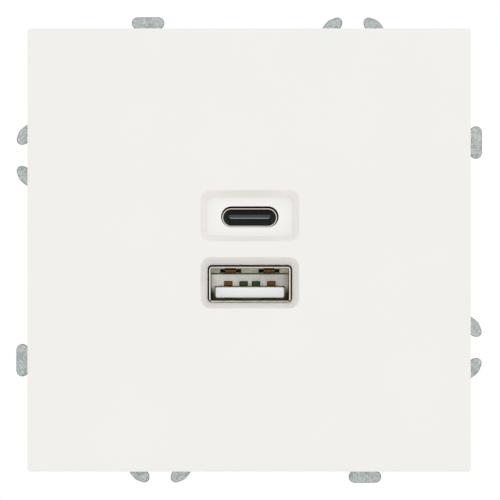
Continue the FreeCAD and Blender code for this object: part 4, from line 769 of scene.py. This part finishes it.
# Painted highlight along the lower half of the tongue's nose.
glint_height = (1 - GLINT_LEVEL) * row_low.z + GLINT_LEVEL * row_high.z
away = add(tree, "ShaderNodeMath", {0: axes[2], 1: glint_height}, operation="SUBTRACT")
away = add(tree, "ShaderNodeMath", {0: away.outputs[0]}, operation="ABSOLUTE")
glint = add(tree, "ShaderNodeMapRange", {
    "Value": away.outputs[0], "From Min": GLINT_START * TONGUE_GLINT, "From Max": GLINT_FADE * TONGUE_GLINT,
    "To Min": 1.0, "To Max": 0.0})
front = add(tree, "ShaderNodeMapRange", {
    "Value": axes[1], "From Min": row_low.y - GLINT_DEEP, "From Max": row_low.y, "To Min": 1.0, "To Max": 0.0})
pin_gloss_and_glint = add(tree, "ShaderNodeMath", {0: glint.outputs[0], 1: front.outputs[0]}, operation="MULTIPLY")
aside = add(tree, "ShaderNodeMath", {0: axes[0], 1: (row_low.x + row_high.x) / 2}, operation="SUBTRACT")
aside = add(tree, "ShaderNodeMath", {0: aside.outputs[0]}, operation="ABSOLUTE").outputs[0]
within = add(tree, "ShaderNodeMath", {0: aside, 1: GLINT_HALF}, operation="LESS_THAN")
pin_gloss_and_glint = add(tree, "ShaderNodeMath", {0: pin_gloss_and_glint.outputs[0], 1: within.outputs[0]}, operation="MULTIPLY")
# Painted highlight at both ends of the oval.
ends = add(tree, "ShaderNodeMapRange", {"Value": aside, "From Min": OVAL_END, "From Max": OVAL_TIP})
ends_painted_pale = add(tree, "ShaderNodeMix", {
    0: ends.outputs[0], 6: shader.inputs["Base Color"].links[0].from_socket, 7: linear("#868C8E")},
    data_type="RGBA").outputs[2]
nose = add(tree, "ShaderNodeMix", {0: pin_gloss_and_glint.outputs[0], 6: ends_painted_pale, 7: linear("#7E8F95")}, data_type="RGBA")
tree.links.new(nose.outputs[2], shader.inputs["Base Color"])

# Thin gold flash, worn by plugs and painted dark as painted shade: a dull brown-grey with a trace of yellow.
shaded_gold = mottled("gold over nickel, painted dark shade", 0.2 * MM, ("#4A463B", "#35332C"), (0.4, 0.5), Metallic=1.0)[0]

# Inside the round ends the nickel is painted a lighter warm grey: painted light reaching into the ends.
oval_ends_lit = mottled("nickel, painted lighter in the round ends", 0.4 * MM, ("#98968B", "#75736A"), (0.25, 0.4), Metallic=1.0)[0]
oval_low, oval_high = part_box("usb_c_shell")


def oval_finish(centre, normal):
    """Picks a USB-C shell face's finish: bright rim, flat inside in painted shade, or round ends painted
    lighter.
    """
    if centre.y < oval_low.y + HAIR:
        return 0
    return 2 if abs(centre.x - (oval_low.x + oval_high.x) / 2) > OVAL_STRAIGHT else 1


dressed("usb_c_shell_drawing", "usb_c_shell", [nickel, oval_inside_shade, oval_ends_lit], SHELL_EDGE, turn=SHELL_TURN,
        finish=oval_finish)
dressed("usb_c_tongue_moulding", "usb_c_insulator", [black_polymer], SHELL_EDGE)

# Inner pieces: the boards, the parts soldered to them, and the transformer. The housings hide them, so they
# keep their solids, and each gets the material of the real one.
TRACK_GAP = 3 * MM
TAPE_WIDTH = 6 * MM

# Green solder mask lies over copper tracks, which show as low ridges. They are drawn wider than real.
laminate, tree, shader, place, cloud = mottled(
    "glass-fibre board with green solder mask", 2 * MM, ("#1E5A34", "#2A6B40"), (0.3, 0.45), IOR=1.55)
tracks = add(tree, "ShaderNodeTexVoronoi", {"Vector": place, "Scale": 1 / TRACK_GAP}, distance="MANHATTAN",
             feature="SMOOTH_F1")
add(tree, "ShaderNodeBump", {"Height": tracks.outputs["Distance"], "Strength": 0.4, "Distance": 0.04 * MM},
    into=shader.inputs["Normal"])

# Yellow film, glossy, wound in layers whose edges show as soft steps.
tape, tree, shader, place, cloud = mottled(
    "yellow polyester film tape", 1.2 * MM, ("#D9AE2B", "#C79A1E"), (0.25, 0.4))
layers = add(tree, "ShaderNodeTexWave", {"Vector": place, "Scale": 1 / TAPE_WIDTH, "Distortion": 1.0},
             bands_direction="Y")
add(tree, "ShaderNodeBump", {"Height": layers.outputs["Fac"], "Strength": 0.3, "Distance": 0.05 * MM},
    into=shader.inputs["Normal"])

# Shrink film, nearly black and glossy, drawn tight over the can with slight waves.
sleeve, tree, shader, place, cloud = mottled(
    "black shrink sleeve", 2 * MM, ("#1B2030", "#242A3C"), (0.25, 0.35))
add(tree, "ShaderNodeBump", {"Height": cloud, "Strength": 0.2, "Distance": 0.05 * MM},
    into=shader.inputs["Normal"])

# Gold over nickel on the header's pins: bright, warm and smooth.
gold = mottled("gold-plated contact", 0.2 * MM, ("#D9B25A", "#B98C3C"), (0.2, 0.32), Metallic=1.0)[0]

# The rest are plain mouldings and metals. Epoxy and ferrite are matt with a fine grain, cases and formers
# are smoother, the dipped capacitor is glossy, and the tin is a soft pale metal.
painted = {
    laminate: ("usb_board", "main_board"),
    tape: ("transformer_winding",),
    sleeve: ("input_capacitor", "output_capacitor"),
    gold: ("header_pins",),
    shaded_gold: ("usb_c_contacts",),
}
for name, cell, tints, gloss, metal, nodes in (
    ("black epoxy moulding", 0.4, ("#1A1B1C", "#242526"), (0.5, 0.65), 0.0,
     ("usb_controller", "optocoupler", "bridge_rectifier")),
    ("black polyamide former", 1.5, ("#161616", "#202021"), (0.35, 0.5), 0.0,
     ("transformer_bobbin", "board_header", "line_choke")),
    ("fired ferrite", 0.5, ("#2C2C2F", "#3B3B3E"), (0.55, 0.75), 0.0, ("transformer_core",)),
    ("yellow epoxy-filled case", 1.5, ("#C79E29", "#B58D1F"), (0.3, 0.45), 0.0, ("line_filter_capacitor",)),
    ("brown fuse case", 1.0, ("#6E4A31", "#7C563A"), (0.35, 0.5), 0.0, ("fuse",)),
    ("blue dipped epoxy", 0.8, ("#2A5C9C", "#23508A"), (0.25, 0.4), 0.0, ("safety_capacitor",)),
    ("tin-plated copper", 0.5, ("#C9C7BF", "#B4B1A7"), (0.3, 0.45), 1.0, ("terminal_contacts",)),
):
    painted[mottled(name, cell * MM, tints, gloss, Metallic=metal)[0]] = nodes
for material, nodes in painted.items():
    for node in nodes:
        solid = frame["nodes"][node]
        if not solid.material_slots:
            solid.data.materials.append(material)
        solid.material_slots[0].material = material
